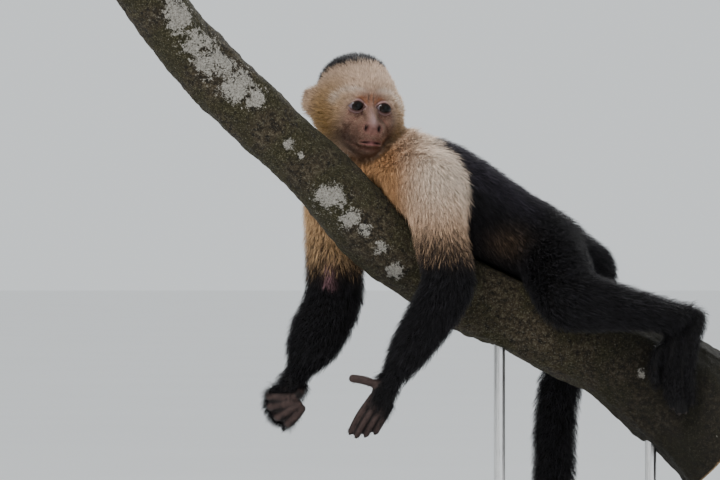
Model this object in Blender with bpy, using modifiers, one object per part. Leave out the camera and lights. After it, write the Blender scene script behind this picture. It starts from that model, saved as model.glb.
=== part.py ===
"""A white-faced capuchin monkey, life size, draped over a cut length of branch on a display stand.

Named sizes are in millimetres and the meshes in metres, +Z up, with the origin at the centre of the base's
underside. The animal lies on its belly along the branch, its head towards -X and its left side towards -Y,
and looks to its left. The solids give the outline of the coat, out to the tips of the hairs. The flesh is
blended from simple forms as one body and then parted by thin cuts.
"""

import math

import bmesh
import bpy
from mathutils import Matrix, Vector

MM = 0.001
GAP = 0.35  # between neighbouring solids

# ---- Stand and perch

BASE_SIZE = (420, 250, 18)
BASE_CORNER, BASE_EDGE = 45, 3
ROD_RADIUS, ROD_DEPTH_IN_BRANCH = 5, 20
FLANGE_RADIUS, FLANGE_HEIGHT = 14, 5
ROD_SPOTS = {"stand_rod_front": (26, 5), "stand_rod_rear": (160, 24)}

BRANCH = [  # axis and radius, from the thin upper end to the flared butt
    ((-299, -80, 618), 28),
    ((-251, -68, 553), 28),
    ((-187, -54, 487), 29),
    ((-135, -40, 438), 30),
    ((-89, -26, 387), 31),
    ((-43, -10, 353), 32),
    ((0, 2, 329), 32.5),
    ((41, 10, 311), 34),
    ((79, 16, 296), 38),
    ((119, 20, 282), 43),
    ((158, 24, 261), 49),
    ((194, 26, 236), 54),
    ((233, 28, 202), 60),
]
BARK_SWELL = 1.3  # how far the bark bulges and hollows round the axis

# ---- Trunk, neck and tail: centre with the half-width across the body and the half-depth from back to belly

TRUNK = [
    ((-55, -2, 446), 36, 34),
    ((-37, -1, 434), 44, 40),
    ((-12, 3, 418), 46, 42),
    ((8, 9, 403), 45, 42.5),
    ((30, 15, 388), 43, 42),
    ((54, 22, 374), 44, 42),
    ((78, 29, 358), 42, 41),
    ((99, 34, 350), 33, 33),
]
BREAST = ((-79, 2, 431), (45, 38, 35))
SHOULDER_FILLS = [  # between the breast, the neck and the left arm
    ((-58, -24, 426), (29, 29, 36)),
    ((-61, -24, 447), (27, 27, 23)),
]
NECK = [((-60, -2, 444), 36, 33), ((-78, 5, 465), 35, 32), ((-96, 12, 486), 34, 32)]
TAIL = [
    ((78, 28, 347), 16),
    ((101, 42, 347), 19),
    ((114, 60, 334), 21.5),
    ((113, 78, 310), 22.5),
    ((100, 88, 285), 23),
    ((84, 91, 257), 23.5),
    ((78, 90, 222), 23.7),
    ((77, 87, 185), 23.7),
    ((76, 84, 145), 23),
    ((71, 82, 108), 21.5),
    ((56, 80, 76), 19.5),
    ((31, 77, 58), 17),
    ((4, 73, 55), 13.5),
    ((-16, 70, 62), 9.5),
]
TAIL_LENGTHS = 4

# ---- Limbs: joints and the radii from one joint to the next

SHOULDER = {"left": (-37, -42, 436), "right": (-120, 23, 418)}
ELBOW = {"left": (-18, -68, 339), "right": (-118.5, 26, 327)}
WRIST = {"left": (-72, -72, 253), "right": (-152, -12, 259)}
HIP = {"left": (68, 9, 374), "right": (69, 49, 374)}
KNEE = {"left": (84, -66, 326), "right": (90, 136, 328)}
ANKLE = {"left": (190, -30, 310), "right": (188, 83, 310)}

UPPER_ARM_RADII = {"left": (28.5, 28, 27, 26.5), "right": (30.5, 30, 29.5, 29)}
FOREARM_RADII = {"left": (26.5, 26, 24.5, 21, 13), "right": (29, 30, 29.5, 24, 13)}
ARM_DEPTH = 0.9  # of a limb from front to back, against its width
THIGH_RADII = (32, 34, 33, 30)
SHANK_RADII = (30, 28, 24, 21, 18.5, 16)

FINGER_RADIUS, THUMB_RADIUS, TOE_RADIUS, BIG_TOE_RADIUS = 3.4, 3.6, 4.0, 4.8
CLOSED_FINGER_RADIUS = 4.0
TIP_TAPER = 0.82  # a tip's radius against the root's
PALM = ((0, 0, 0), 12, 8), ((12, -2, 1), 12, 7.5), ((23, -3, 2), 11, 6.5)  # along, to the thumb, to the back
OPEN_FINGERS = [  # root and tip of each finger of the hanging left hand, in the palm's frame
    ((19, 5.5, 2), (51, 4.5, -3)),
    ((21, -0.5, 2.5), (49.5, -2.5, -3)),
    ((20, -6.5, 2), (44, -8, -4)),
    ((16, -11.5, 1), (38, -13, -6)),
]
OPEN_THUMB = ((2, 5, 0), (9, 18, -1), (13.5, 28, -2))
FIST = ((-164, -12, 231), (14, 11, 14.5))
FIST_FINGERS = [  # knuckle, middle joint and tip of each: the tips meet at the thumb's
    ((-172, -8, 246), (-176, -20, 241), (-157, -27, 241)),
    ((-174, -6, 237), (-175, -21, 232), (-154, -28, 237)),
    ((-170, -4, 229), (-169, -22, 223), (-151, -28, 234)),
    ((-163, -3, 223), (-160, -21, 217.5), (-148.5, -26, 231)),
]
FIST_WRIST = [(WRIST["right"], 12, 11), ((-158, -12, 245), 13, 11), ((-164, -14, 234), 13, 10.5)]
FIST_THUMB = ((-149, -12, 252), (-145, -23, 247), (-150, -30, 241))

SOLE = [((191, -24, 309), 13, 12), ((183, -28, 286), 18, 10), ((182, -32, 264), 16.5, 8)]
TOES = [
    ((172, -32, 266), (177, -35, 234)),
    ((178.5, -33, 264), (182, -36, 230)),
    ((185.5, -33, 264), (187.5, -35, 231)),
    ((192.5, -31, 268), (193.5, -32, 239)),
]
BIG_TOE = ((174, -28, 290), (162.5, -31, 278), (162, -34, 256))
FOOT_MIRROR = 26  # the branch's mid-plane there, across which the right foot mirrors the left

# ---- Head, in its own frame: +X to the animal's left, +Y the way it faces, +Z to the crown

HEAD = (-99, 10, 493)
HEAD_TURN, HEAD_TILT, HEAD_NOD = map(math.radians, (20, 4.5, 3))  # turn and tilt to its left, and nod
HEAD_FORMS = [  # centre and radii
    ((1.5, -10, 9), (37, 42, 39.5)),  # cranium
    ((1.5, 11, 13), (29, 23, 24.5)),  # forehead
    ((0, -2, -17), (33, 32, 25)),  # throat and nape
    ((0, 20, -30), (18, 18, 14)),  # chin and jaw
    ((0, 26, -19), (18.5, 20.5, 16.5)),  # muzzle
]
PAIRED_HEAD_FORMS = [
    ((20.5, 5, -3), (20.5, 27, 28)),  # cheek and temple
    ((33, -8, 4), (10.5, 13, 17)),  # hair in front of the ear
    ((13.5, 26, 12), (12, 8, 6)),  # brow
    ((13, 23, 2), (12.5, 12.5, 11)),  # lids
    ((17, 24, -9), (10, 9, 8)),  # cheekbone
    ((5.5, 40, -13), (5.8, 5.5, 5)),  # side of the nose
]
NOSE = [((0, 31, 4), 6, 5), ((0, 36, -5), 6.5, 6), ((0, 40.5, -13), 7.5, 6)]
LIPS = [((-12, 38, -27.5), 3.4, 5), ((0, 43, -27), 4, 5), ((12, 38, -27.5), 3.4, 5)]
MOUTH = ((0, 47, -27.5), (11, 6.5, 1))
NOSTRIL = ((7.7, 45, -14.5), (1.8, 3, 2.5))
EYE_SPOT, EYE_RADIUS = (12.9, 27, 3.3), 8.2
EYE_OPENING = ((12.9, 36, 3.3), (7.6, 8, 4.7))
EAR = ((41, -12, 5), (5.5, 9.5, 11.5))
EAR_HOLLOW = ((46, -8, 5), (5, 6, 7.5))
EAR_FLARE = math.radians(24)
EAR_CLEARANCE = 0.7  # between an ear and the head that it is cut to
SIDES = {"left": 1, "right": -1}

# ---- Facets

DOME = tuple(map(math.radians, (28, 54, 76)))  # where a round end has its rings, up from the rim
FINE_BALL, SMALL_BALL, EAR_BALL = (20, 14), (10, 8), (10, 7)  # segments round and from pole to pole
FLESH_SIDES, FINGER_SIDES, CUTTER_SIDES, BRANCH_SIDES, ROD_SIDES = 20, 10, 8, 12, 12
BLEND_VOXEL, BLEND_SMOOTHING = 1.25, 10
FLESH_TRIANGLES = 2750
FINE_SPOTS = [  # centre, radius and care
    (HEAD, 68, 0.47),
    ((-86, -26, 488), 34, 0.56),
    (WRIST["left"], 64, 0.35),
    (FIST[0], 32, 0.4),
    ((180, -32, 254), 42, 0.44),
    ((180, 2 * FOOT_MIRROR + 32, 254), 42, 0.44),
]
CARE_STRENGTH, CARE_EDGE = 0.012, 5  # how much care counts, and how steeply it ends at a spot's rim
SLIVER = 0.15  # edges shorter than this are closed up
FLAT = math.radians(1)  # facets nearer than this to one plane become one

# ---- Where the flesh is parted: a point of each flat cut, the way to the piece beyond, and how far and
# how wide a box beyond it takes that piece

LIMB_MARGIN, TAIL_MARGIN = 6, 4
NECK_TOP = ((-78, 6, 463), (-0.47, -0.33, 0.82), 110, 150)
NECK_ROOT = ((-62, -3, 452), (-0.45, 0.15, 0.88), 60, 120)
LEFT_WRIST_CUT = ((-72, -72, 253), (-0.55, 0, -0.83), 80, 90)
RIGHT_WRIST_CUT = ((-152, -12, 257), (-0.5, -0.2, -0.84), 80, 90)
ANKLE_CUT = ((184, -30, 308), (0.75, 0, -0.66), 95, 100)
WAIST = ((14, 12, 398), (-0.82, -0.25, 0.5), 120, 150)  # towards the chest
LOIN = ((46, 20, 376), (0.84, 0.25, -0.45), 120, 150)  # towards the pelvis

# ---- Finishes: colour, roughness, how metallic, and the beginnings of the names that have each

FINISHES = {
    "fur_cream": ((0.62, 0.42, 0.26), 0.7, 0, "head neck ear upper_arm"),
    "fur_black": ((0.012, 0.011, 0.012), 0.62, 0, "chest abdomen pelvis forearm thigh shank tail"),
    "bare_skin": ((0.05, 0.035, 0.03), 0.55, 0, "hand foot"),
    "eye_brown": ((0.02, 0.01, 0.006), 0.05, 0, "eye"),
    "bark": ((0.14, 0.11, 0.075), 0.9, 0, "perch_branch"),
    "stand_paint": ((0.03, 0.03, 0.032), 0.45, 0, "stand_base"),
    "rod_steel": ((0.6, 0.6, 0.6), 0.3, 1, "stand_rod"),
}
CREASE = math.radians(40)  # edges sharper than this aren't shaded smooth


# ================================================================ small tools


def clear_scene():
    for old in list(bpy.data.objects):
        bpy.data.objects.remove(old, do_unlink=True)


def new_collection(name):
    made = bpy.data.collections.new(name)
    bpy.context.scene.collection.children.link(made)
    return made


def material(name, colour, roughness, metallic):
    made = bpy.data.materials.new(name)
    made.use_nodes = True
    shader = made.node_tree.nodes["Principled BSDF"]
    shader.inputs["Base Color"].default_value = (*colour, 1.0)
    shader.inputs["Roughness"].default_value = roughness
    shader.inputs["Metallic"].default_value = metallic
    return made


def add_finishes():
    for name, (colour, roughness, metallic, beginnings) in FINISHES.items():
        finish = material(name, colour, roughness, metallic)
        for part in PARTS.objects:
            if part.name.startswith(tuple(beginnings.split())):
                part.data.materials.clear()
                part.data.materials.append(finish)
                part.data.shade_smooth()
                part.data.set_sharp_from_angle(angle=CREASE)


def place_object(name, mesh):
    made = bpy.data.objects.new(name, mesh)
    PARTS.objects.link(made)
    return made


def from_bmesh(name, bm):
    """An object from a mesh that was modelled in millimetres."""
    bmesh.ops.scale(bm, vec=(MM, MM, MM), verts=bm.verts)
    bmesh.ops.recalc_face_normals(bm, faces=bm.faces)
    bmesh.ops.triangulate(bm, faces=bm.faces, quad_method="FIXED", ngon_method="BEAUTY")
    mesh = bpy.data.meshes.new(name)
    bm.to_mesh(mesh)
    bm.free()
    return place_object(name, mesh)


def settled(obj, name=None):
    """The object with its modifiers made part of its mesh."""
    bpy.context.view_layer.update()
    graph = bpy.context.evaluated_depsgraph_get()
    mesh = bpy.data.meshes.new_from_object(obj.evaluated_get(graph))
    name = name or obj.name
    bpy.data.objects.remove(obj, do_unlink=True)
    mesh.name = name
    return place_object(name, mesh)


def boolean(target, other, operation, name=None):
    """A Boolean by the solver for closed meshes, as the exact one fails on the flesh's small facets."""
    cut = target.modifiers.new(operation.title(), "BOOLEAN")
    cut.operation = operation
    cut.solver = "MANIFOLD"
    cut.object = other
    return settled(target, name)


def cut_away(target, cutter):
    """The target without the cutter, which is used up."""
    target = boolean(target, cutter, "DIFFERENCE")
    bpy.data.objects.remove(cutter, do_unlink=True)
    return target


def copy_of(obj, name):
    return place_object(name, obj.data.copy())


def largest_piece(obj):
    """Drops the crumbs that a cut left beside the main body, and joins facets that lie in one plane."""
    bm = bmesh.new()
    bm.from_mesh(obj.data)
    unseen = set(bm.verts)
    pieces = []
    while unseen:
        piece, edge = set(), [unseen.pop()]
        while edge:
            vertex = edge.pop()
            piece.add(vertex)
            near = {link.other_vert(vertex) for link in vertex.link_edges} & unseen
            unseen -= near
            edge.extend(near)
        pieces.append(piece)
    pieces.sort(key=len)
    crumbs = [vertex for piece in pieces[:-1] for vertex in piece]
    bmesh.ops.delete(bm, geom=crumbs, context="VERTS")
    bm.to_mesh(obj.data)
    bmesh.ops.remove_doubles(bm, verts=bm.verts, dist=SLIVER * MM)
    bmesh.ops.dissolve_limit(bm, angle_limit=FLAT, verts=bm.verts, edges=bm.edges)
    bmesh.ops.triangulate(bm, faces=bm.faces)
    if all(edge.is_manifold for edge in bm.edges):
        bm.to_mesh(obj.data)
    bm.free()
    return obj


# ================================================================ forms, in millimetres


def between(a, b, c, d, t):
    """A smooth value from b to c, with a before and d after them."""
    return 0.5 * (2 * b + (c - a) * t + (2 * a - 5 * b + 4 * c - d) * t**2 + (3 * b - a - 3 * c + d) * t**3)


def smooth_rows(stations, per_span):
    """Rows x, y, z, half-width, half-depth, with more put in between the stations on one smooth line."""
    rows = [[*centre, *(halves * 2)[:2]] for centre, *halves in stations]
    last = len(rows) - 1
    out = []
    for i in range(last):
        around = (rows[max(i - 1, 0)], rows[i], rows[i + 1], rows[min(i + 2, last)])
        for k in range(per_span):
            out.append([between(*values, k / per_span) for values in zip(*around)])
    return out + [rows[-1]]


def loft(bm, stations, side, grow=0.0, sides=FLESH_SIDES, per_span=3, ends="round round", swell=None):
    """Elliptical rings along a smooth line through the stations, bridged and closed.

    side points along each ring's half-width. swell(turn, step) adds to a ring's size at an angle.
    """
    rows = smooth_rows(stations, per_span)
    last = len(rows) - 1
    rings = []
    for i, (x, y, z, width, depth) in enumerate(rows):
        along = (Vector(rows[min(i + 1, last)][:3]) - Vector(rows[max(i - 1, 0)][:3])).normalized()
        across = (Vector(side) - along * along.dot(Vector(side))).normalized()
        rings.append([Vector((x, y, z)), across, along.cross(across), along, width + grow, depth + grow])
    for end, sign, kind in zip((0, -1), (-1, 1), ends.split()):
        centre, across, front, along, width, depth = rings[end]
        if kind == "flat":
            rings[end][0] = centre + along * sign * grow
            continue
        dome = []
        for turn in DOME:
            at = centre + along * sign * min(width, depth) * math.sin(turn)
            shrink = math.cos(turn)
            dome.append([at, across, front, along, width * shrink, depth * shrink])
        rings = dome[::-1] + rings if end == 0 else rings + dome
    loops = []
    for step, (centre, across, front, along, width, depth) in enumerate(rings):
        place = Matrix((across * width, front * depth, along)).transposed().to_4x4()
        place.translation = centre
        verts = bmesh.ops.create_circle(bm, segments=sides, radius=1.0, matrix=place)["verts"]
        if swell:
            for k, vertex in enumerate(verts):
                vertex.co += (vertex.co - centre).normalized() * swell(k / sides, step)
        loops.append(list({edge for vertex in verts for edge in vertex.link_edges}))
    for one, other in zip(loops, loops[1:]):
        bmesh.ops.bridge_loops(bm, edges=one + other)
    for end in (loops[0], loops[-1]):
        bmesh.ops.contextual_create(bm, geom=end)


def ball(bm, centre, radii, turn=Matrix(), detail=FINE_BALL):
    place = Matrix.Translation(centre) @ turn @ Matrix.Diagonal((*radii, 1))
    bmesh.ops.create_uvsphere(bm, u_segments=detail[0], v_segments=detail[1], radius=1.0, matrix=place)


def tube(bm, points, radius):
    """A finger or toe: a round bar through the points, thinner towards its tip."""
    last = len(points) - 1
    stations = [(at, radius * (1 + (TIP_TAPER - 1) * i / last)) for i, at in enumerate(points)]
    direction = Vector(points[-1]) - Vector(points[0])
    side = (1, 0, 0) if abs(direction.normalized().x) < 0.8 else (0, 0, 1)
    loft(bm, stations, side, sides=FINGER_SIDES)


def limb_stations(start, end, radii):
    """Evenly spaced stations from one joint to the next."""
    last = len(radii) - 1
    line = Vector(end) - Vector(start)
    return [(Vector(start) + line * i / last, r, r * ARM_DEPTH) for i, r in enumerate(radii)]


def block(at, towards, reach, width, grow):
    """A box with the middle of one face at a point, which extends from there in a direction."""
    bm = bmesh.new()
    towards = Vector(towards).normalized()
    turn = towards.to_track_quat("Z", "Y").to_matrix().to_4x4()
    middle = Vector(at) + towards * (reach / 2 - grow)
    size = Matrix.Diagonal((width + grow, width + grow, reach, 1))
    bmesh.ops.create_cube(bm, size=1.0, matrix=Matrix.Translation(middle) @ turn @ size)
    return from_bmesh("block", bm)


# ================================================================ the animal


def head_matrix():
    forward = Vector((math.sin(HEAD_TURN), -math.cos(HEAD_TURN), 0))
    left = Vector((math.cos(HEAD_TURN), math.sin(HEAD_TURN), 0))
    facing = Matrix((left, -forward, Vector((0, 0, 1)))).transposed().to_4x4()
    lean = Matrix.Rotation(-HEAD_TILT, 4, forward) @ Matrix.Rotation(HEAD_NOD, 4, left)
    return Matrix.Translation(HEAD) @ lean @ facing @ Matrix.Diagonal((1, -1, 1, 1))


def palm_matrix():
    """The frame of the hanging left hand: +X along it, +Y towards its thumb and +Z out of its back."""
    along = Vector((-0.55, 0.06, -0.833)).normalized()
    back = Vector((0, -1, 0))
    back = (back - along * along.dot(back)).normalized()
    turn = Matrix((along, along.cross(back), back)).transposed().to_4x4()
    return Matrix.Translation(WRIST["left"]) @ turn


def add_head(bm):
    made = bmesh.new()
    for centre, radii in HEAD_FORMS:
        ball(made, centre, radii)
    for (x, y, z), radii in PAIRED_HEAD_FORMS:
        for side in (1, -1):
            ball(made, (side * x, y, z), radii)
    loft(made, NOSE, (1, 0, 0))
    loft(made, LIPS, (0, 0, 1))
    bmesh.ops.transform(made, matrix=head_matrix(), verts=made.verts)
    merge(bm, made)


def merge(bm, made):
    """Adds a finished mesh to another."""
    mesh = bpy.data.meshes.new("merged")
    made.to_mesh(mesh)
    made.free()
    bm.from_mesh(mesh)
    bpy.data.meshes.remove(mesh)


def add_open_hand(bm):
    made = bmesh.new()
    loft(made, PALM, (0, 1, 0))
    for (x, y, z), tip in OPEN_FINGERS:
        middle = ((x + tip[0]) / 2, (y + tip[1]) / 2, max(z, tip[2]) + 1.5)
        tube(made, ((x, y, z), middle, tip), FINGER_RADIUS)
    tube(made, OPEN_THUMB, THUMB_RADIUS)
    bmesh.ops.transform(made, matrix=palm_matrix(), verts=made.verts)
    merge(bm, made)


def add_fist(bm):
    ball(bm, *FIST)
    loft(bm, FIST_WRIST, (1, 0, 0))
    for line in FIST_FINGERS:
        tube(bm, line, CLOSED_FINGER_RADIUS)
    tube(bm, FIST_THUMB, THUMB_RADIUS)


def on_side(point, side):
    """A point of the left foot, or its mirror on the right."""
    x, y, z = point
    return (x, y if side == "left" else 2 * FOOT_MIRROR - y, z)


def add_foot(bm, side):
    loft(bm, [(on_side(at, side), *halves) for at, *halves in SOLE], (1, 0, 0))
    for root, tip in TOES:
        tube(bm, (on_side(root, side), on_side(tip, side)), TOE_RADIUS)
    tube(bm, [on_side(at, side) for at in BIG_TOE], BIG_TOE_RADIUS)


def limb_forms(side):
    """Each stretch of a limb with its stations and the direction of its width."""
    return {
        "upper_arm": (limb_stations(SHOULDER[side], ELBOW[side], UPPER_ARM_RADII[side]), (1, 0, 0)),
        "forearm": (limb_stations(ELBOW[side], WRIST[side], FOREARM_RADII[side]), (1, 0, 0)),
        "thigh": (limb_stations(HIP[side], KNEE[side], THIGH_RADII), (1, 0, 0)),
        "shank": (limb_stations(KNEE[side], ANKLE[side], SHANK_RADII), (0, 0, 1)),
    }


def branch_form(grow=0.0):
    def swell(turn, step):
        three_ridges = math.sin(2 * math.pi * (3 * turn + 0.11 * step))
        two_ridges = math.sin(2 * math.pi * (2 * turn - 0.23 * step))
        return BARK_SWELL * (three_ridges + two_ridges)

    bm = bmesh.new()
    loft(bm, BRANCH, (0, -1, 0), grow, sides=BRANCH_SIDES, per_span=2, ends="flat flat", swell=swell)
    return from_bmesh("perch_branch", bm)


def whole_flesh():
    """The animal as one body without ears or eyes, from its blended forms."""
    bm = bmesh.new()
    loft(bm, TRUNK, (0, -1, 0))
    loft(bm, NECK, (0, -1, 0))
    ball(bm, *BREAST)
    for centre, radii in SHOULDER_FILLS:
        ball(bm, centre, radii)
    loft(bm, TAIL, (1, 0, 0))
    for side in SIDES:
        for stations, across in limb_forms(side).values():
            loft(bm, stations, across)
        add_foot(bm, side)
    add_open_hand(bm)
    add_fist(bm)
    add_head(bm)
    whole = from_bmesh("flesh", bm)

    blend = whole.modifiers.new("Blend", "REMESH")
    blend.mode = "VOXEL"
    blend.voxel_size = BLEND_VOXEL * MM
    soften = whole.modifiers.new("Soften", "SMOOTH")
    soften.factor = 0.5
    soften.iterations = BLEND_SMOOTHING
    return faceted(settled(whole))


def faceted(whole):
    """The whole with fewer, larger facets, which stay smallest on the head, hands and feet."""
    coarse = whole.vertex_groups.new(name="coarse")
    for vertex in whole.data.vertices:
        care = 0.0
        for centre, radius, amount in FINE_SPOTS:
            away = (vertex.co / MM - Vector(centre)).length
            care = max(care, amount * min(1.0, max(0.0, CARE_EDGE * (1 - away / radius))))
        coarse.add([vertex.index], 1.0 - care, "REPLACE")
    thin = whole.modifiers.new("Facets", "DECIMATE")
    thin.vertex_group = "coarse"
    thin.vertex_group_factor = CARE_STRENGTH
    thin.ratio = FLESH_TRIANGLES / sum(len(face.vertices) - 2 for face in whole.data.polygons)
    thin.use_collapse_triangulate = True
    return largest_piece(settled(whole))


def carve(whole, name, volume):
    """Takes what lies in volume(0) off the whole as a piece, and leaves a thin cut round it."""
    cutter = volume(0.0)
    piece = boolean(copy_of(whole, name), cutter, "INTERSECT", name)
    bpy.data.objects.remove(cutter, do_unlink=True)
    return largest_piece(cut_away(whole, volume(GAP))), largest_piece(piece)


def sleeve(stations, across, ends, margin=LIMB_MARGIN):
    """A cutter round one stretch of limb or tail, a little wider than that is."""

    def volume(grow):
        wider = [(at, *(half + margin for half in halves)) for at, *halves in stations]
        bm = bmesh.new()
        loft(bm, wider, across, grow, sides=CUTTER_SIDES, per_span=1, ends=ends)
        return from_bmesh("sleeve", bm)

    return volume


def beyond(at, towards, reach, width):
    return lambda grow: block(at, towards, reach, width, grow)


def tail_volumes():
    """Cutters for the lengths of tail, each from one shared station to another."""
    per_length = len(TAIL) / TAIL_LENGTHS
    edges = [round(i * per_length) for i in range(TAIL_LENGTHS)] + [len(TAIL) - 1]
    rows = smooth_rows(TAIL, 2)
    for i in range(TAIL_LENGTHS):
        stretch = rows[2 * edges[i] : 2 * edges[i + 1] + 1]
        ends = "flat round" if i == TAIL_LENGTHS - 1 else "flat flat"
        stations = [((x, y, z), width, depth) for x, y, z, width, depth in stretch]
        yield f"tail_{i + 1}", sleeve(stations, (1, 0, 0), ends, TAIL_MARGIN)


def part_flesh(whole):
    """Parts the flesh from its ends inwards and returns the pieces. What is left at last is the abdomen."""
    volumes = {"head": beyond(*NECK_TOP)}
    volumes |= {"hand_left": beyond(*LEFT_WRIST_CUT), "hand_right": beyond(*RIGHT_WRIST_CUT)}
    for side in SIDES:
        forms = limb_forms(side)
        volumes[f"foot_{side}"] = beyond(on_side(ANKLE_CUT[0], side), *ANKLE_CUT[1:])
        volumes[f"forearm_{side}"] = sleeve(*forms["forearm"], "flat round")
        volumes[f"shank_{side}"] = sleeve(*forms["shank"], "flat round")
    volumes |= dict(reversed(list(tail_volumes())))
    for side in SIDES:
        forms = limb_forms(side)
        volumes[f"upper_arm_{side}"] = sleeve(*forms["upper_arm"], "round round")
        volumes[f"thigh_{side}"] = sleeve(*forms["thigh"], "round round")
    volumes |= {"neck": beyond(*NECK_ROOT), "chest": beyond(*WAIST), "pelvis": beyond(*LOIN)}
    pieces = {}
    for name, volume in volumes.items():
        whole, pieces[name] = carve(whole, name, volume)
    whole.name = "abdomen"
    pieces["abdomen"] = largest_piece(whole)
    return pieces


def in_head(centre, radii, side=1, turn=Matrix(), detail=SMALL_BALL):
    """An ellipsoid in the head's frame as an object."""
    x, y, z = centre
    bm = bmesh.new()
    ball(bm, (side * x, y, z), radii, turn, detail)
    bmesh.ops.transform(bm, matrix=head_matrix(), verts=bm.verts)
    return from_bmesh("form", bm)


def finish_head(head):
    """Opens the mouth, nostrils and eye sockets, and adds the eyes and ears."""
    whole_head = copy_of(head, "whole_head")
    head = cut_away(head, in_head(*MOUTH, detail=FINE_BALL))
    for name, side in SIDES.items():
        head = cut_away(head, in_head(*NOSTRIL, side))
        head = cut_away(head, in_head(EYE_SPOT, (EYE_RADIUS + GAP,) * 3, side))
        head = cut_away(head, in_head(*EYE_OPENING, side))
        eye = in_head(EYE_SPOT, (EYE_RADIUS,) * 3, side)
        eye.name = f"eye_{name}"
        flare = Matrix.Rotation(side * EAR_FLARE, 4, "Z")
        ear = in_head(*EAR, side, flare, EAR_BALL)
        ear.name = f"ear_{name}"
        ear = cut_away(ear, in_head(*EAR_HOLLOW, side, flare, EAR_BALL))
        ear = largest_piece(boolean(ear, whole_head, "DIFFERENCE"))
        outward = head_matrix().to_3x3() @ Vector((side, 0, 0))
        ear.data.transform(Matrix.Translation(outward * EAR_CLEARANCE * MM))
    bpy.data.objects.remove(whole_head, do_unlink=True)
    largest_piece(head)


# ================================================================ perch and stand


def stand_base():
    length, width, height = BASE_SIZE
    bm = bmesh.new()
    place = Matrix.Translation((0, 0, height / 2)) @ Matrix.Diagonal((length, width, height, 1))
    bmesh.ops.create_cube(bm, size=1.0, matrix=place)
    upright = [edge for edge in bm.edges if edge.verts[0].co.z != edge.verts[1].co.z]
    bmesh.ops.bevel(bm, geom=upright, offset=BASE_CORNER, segments=5, profile=0.5, affect="EDGES")
    rim = [edge for edge in bm.edges if min(vertex.co.z for vertex in edge.verts) > height / 2]
    bmesh.ops.bevel(bm, geom=rim, offset=BASE_EDGE, segments=2, profile=0.5, affect="EDGES")
    return from_bmesh("stand_base", bm)


def branch_height(x):
    """How high the branch's axis lies above a place along it."""
    for ((x0, _, z0), _), ((x1, _, z1), _) in zip(BRANCH, BRANCH[1:]):
        if x0 <= x <= x1:
            return z0 + (z1 - z0) * (x - x0) / (x1 - x0)
    raise ValueError("no branch there")


def branch_radius(x):
    return min(BRANCH, key=lambda station: abs(station[0][0] - x))[1]


def upright_bar(x, y, foot, top, radius):
    bm = bmesh.new()
    place = Matrix.Translation((x, y, (foot + top) / 2))
    sizes = {"radius1": radius, "radius2": radius, "depth": top - foot}
    bmesh.ops.create_cone(bm, cap_ends=True, segments=ROD_SIDES, matrix=place, **sizes)
    return from_bmesh("bar", bm)


def stand_rods(branch):
    """Two rods with a flange at the foot, let into holes in the branch."""
    foot = BASE_SIZE[2] + GAP
    for name, (x, y) in ROD_SPOTS.items():
        top = branch_height(x) - branch_radius(x) + ROD_DEPTH_IN_BRANCH
        rod = upright_bar(x, y, foot, top, ROD_RADIUS)
        flange = upright_bar(x, y, foot, foot + FLANGE_HEIGHT, FLANGE_RADIUS)
        boolean(rod, flange, "UNION", name)
        bpy.data.objects.remove(flange, do_unlink=True)
        branch = cut_away(branch, upright_bar(x, y, foot, top + GAP, ROD_RADIUS + GAP))


clear_scene()
PARTS = new_collection("capuchin_on_branch")
branch = branch_form()
flesh = cut_away(whole_flesh(), branch_form(GAP))
pieces = part_flesh(flesh)
finish_head(pieces["head"])
stand_rods(branch)
stand_base()
add_finishes()
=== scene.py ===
"""A white-faced capuchin monkey, life size, draped over a cut length of branch on a display stand.

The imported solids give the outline, out to the tips of the hairs. One skin lies inside them by the coat's
depth, with a finer head, fingers and toes, and the coat grows on it as tufts of solid mesh. Named sizes are
in millimetres, as are points until a mesh is made, and meshes are in metres.
"""

import math

import bmesh
import bpy
import numpy as np
from mathutils import Matrix, Vector
from mathutils.bvhtree import BVHTree


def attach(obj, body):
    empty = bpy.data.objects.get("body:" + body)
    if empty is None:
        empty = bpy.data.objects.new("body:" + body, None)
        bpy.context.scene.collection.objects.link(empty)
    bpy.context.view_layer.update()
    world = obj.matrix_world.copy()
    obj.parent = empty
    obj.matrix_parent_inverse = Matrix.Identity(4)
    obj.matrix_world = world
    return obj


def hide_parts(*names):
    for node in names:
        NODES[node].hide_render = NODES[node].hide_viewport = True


MM = 0.001
SIDES = {"left": 1, "right": -1}

# ---- Head, in its own frame: +X to the animal's left, +Y the way it faces, +Z to the crown

HEAD = (-99, 10, 493)
HEAD_TURN, HEAD_TILT, HEAD_NOD = map(math.radians, (20, 4.5, 3))  # turn and tilt to its left, and nod
HEAD_FORMS = [  # centre and radii
    ((1.5, -10, 9), (37, 42, 39.5)),  # cranium
    ((1.5, 11, 13), (29, 23, 24.5)),  # forehead
    ((0, -2, -17), (33, 32, 25)),  # throat and nape
    ((0, 20, -30), (18, 18, 14)),  # chin and jaw
    ((0, 26, -19), (18.5, 20.5, 16.5)),  # muzzle
]
PAIRED_HEAD_FORMS = [
    ((20.5, 5, -3), (20.5, 27, 28)),  # cheek and temple
    ((33, -8, 4), (10.5, 13, 17)),  # hair in front of the ear
    ((13.5, 26, 12), (12, 8, 6)),  # brow
    ((13, 23, 2), (12.5, 12.5, 11)),  # lids
    ((17, 24, -9), (10, 9, 8)),  # cheekbone
    ((4.3, 40, -13), (4.9, 5.5, 5)),  # side of the nose
]
NOSE = [((0, 31, 4), 5.4), ((0, 36, -5), 6), ((0, 40.5, -13), 6.6)]
LIPS = [((-8.5, 39, -27.5), 3.0), ((0, 42.3, -27), 3.6), ((8.5, 39, -27.5), 3.0)]
EAR, EAR_RADII, EAR_FLARE = (41.5, -12, 5), (3.4, 9.5, 11), math.radians(24)
EYE_SPOT, EYE_RADIUS = (12.9, 27, 3.3), 8.2
EYE_HALF_WIDTH, UPPER_LID, LOWER_LID = 7.5, 4.1, 3.6  # of the opening, from its middle
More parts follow.
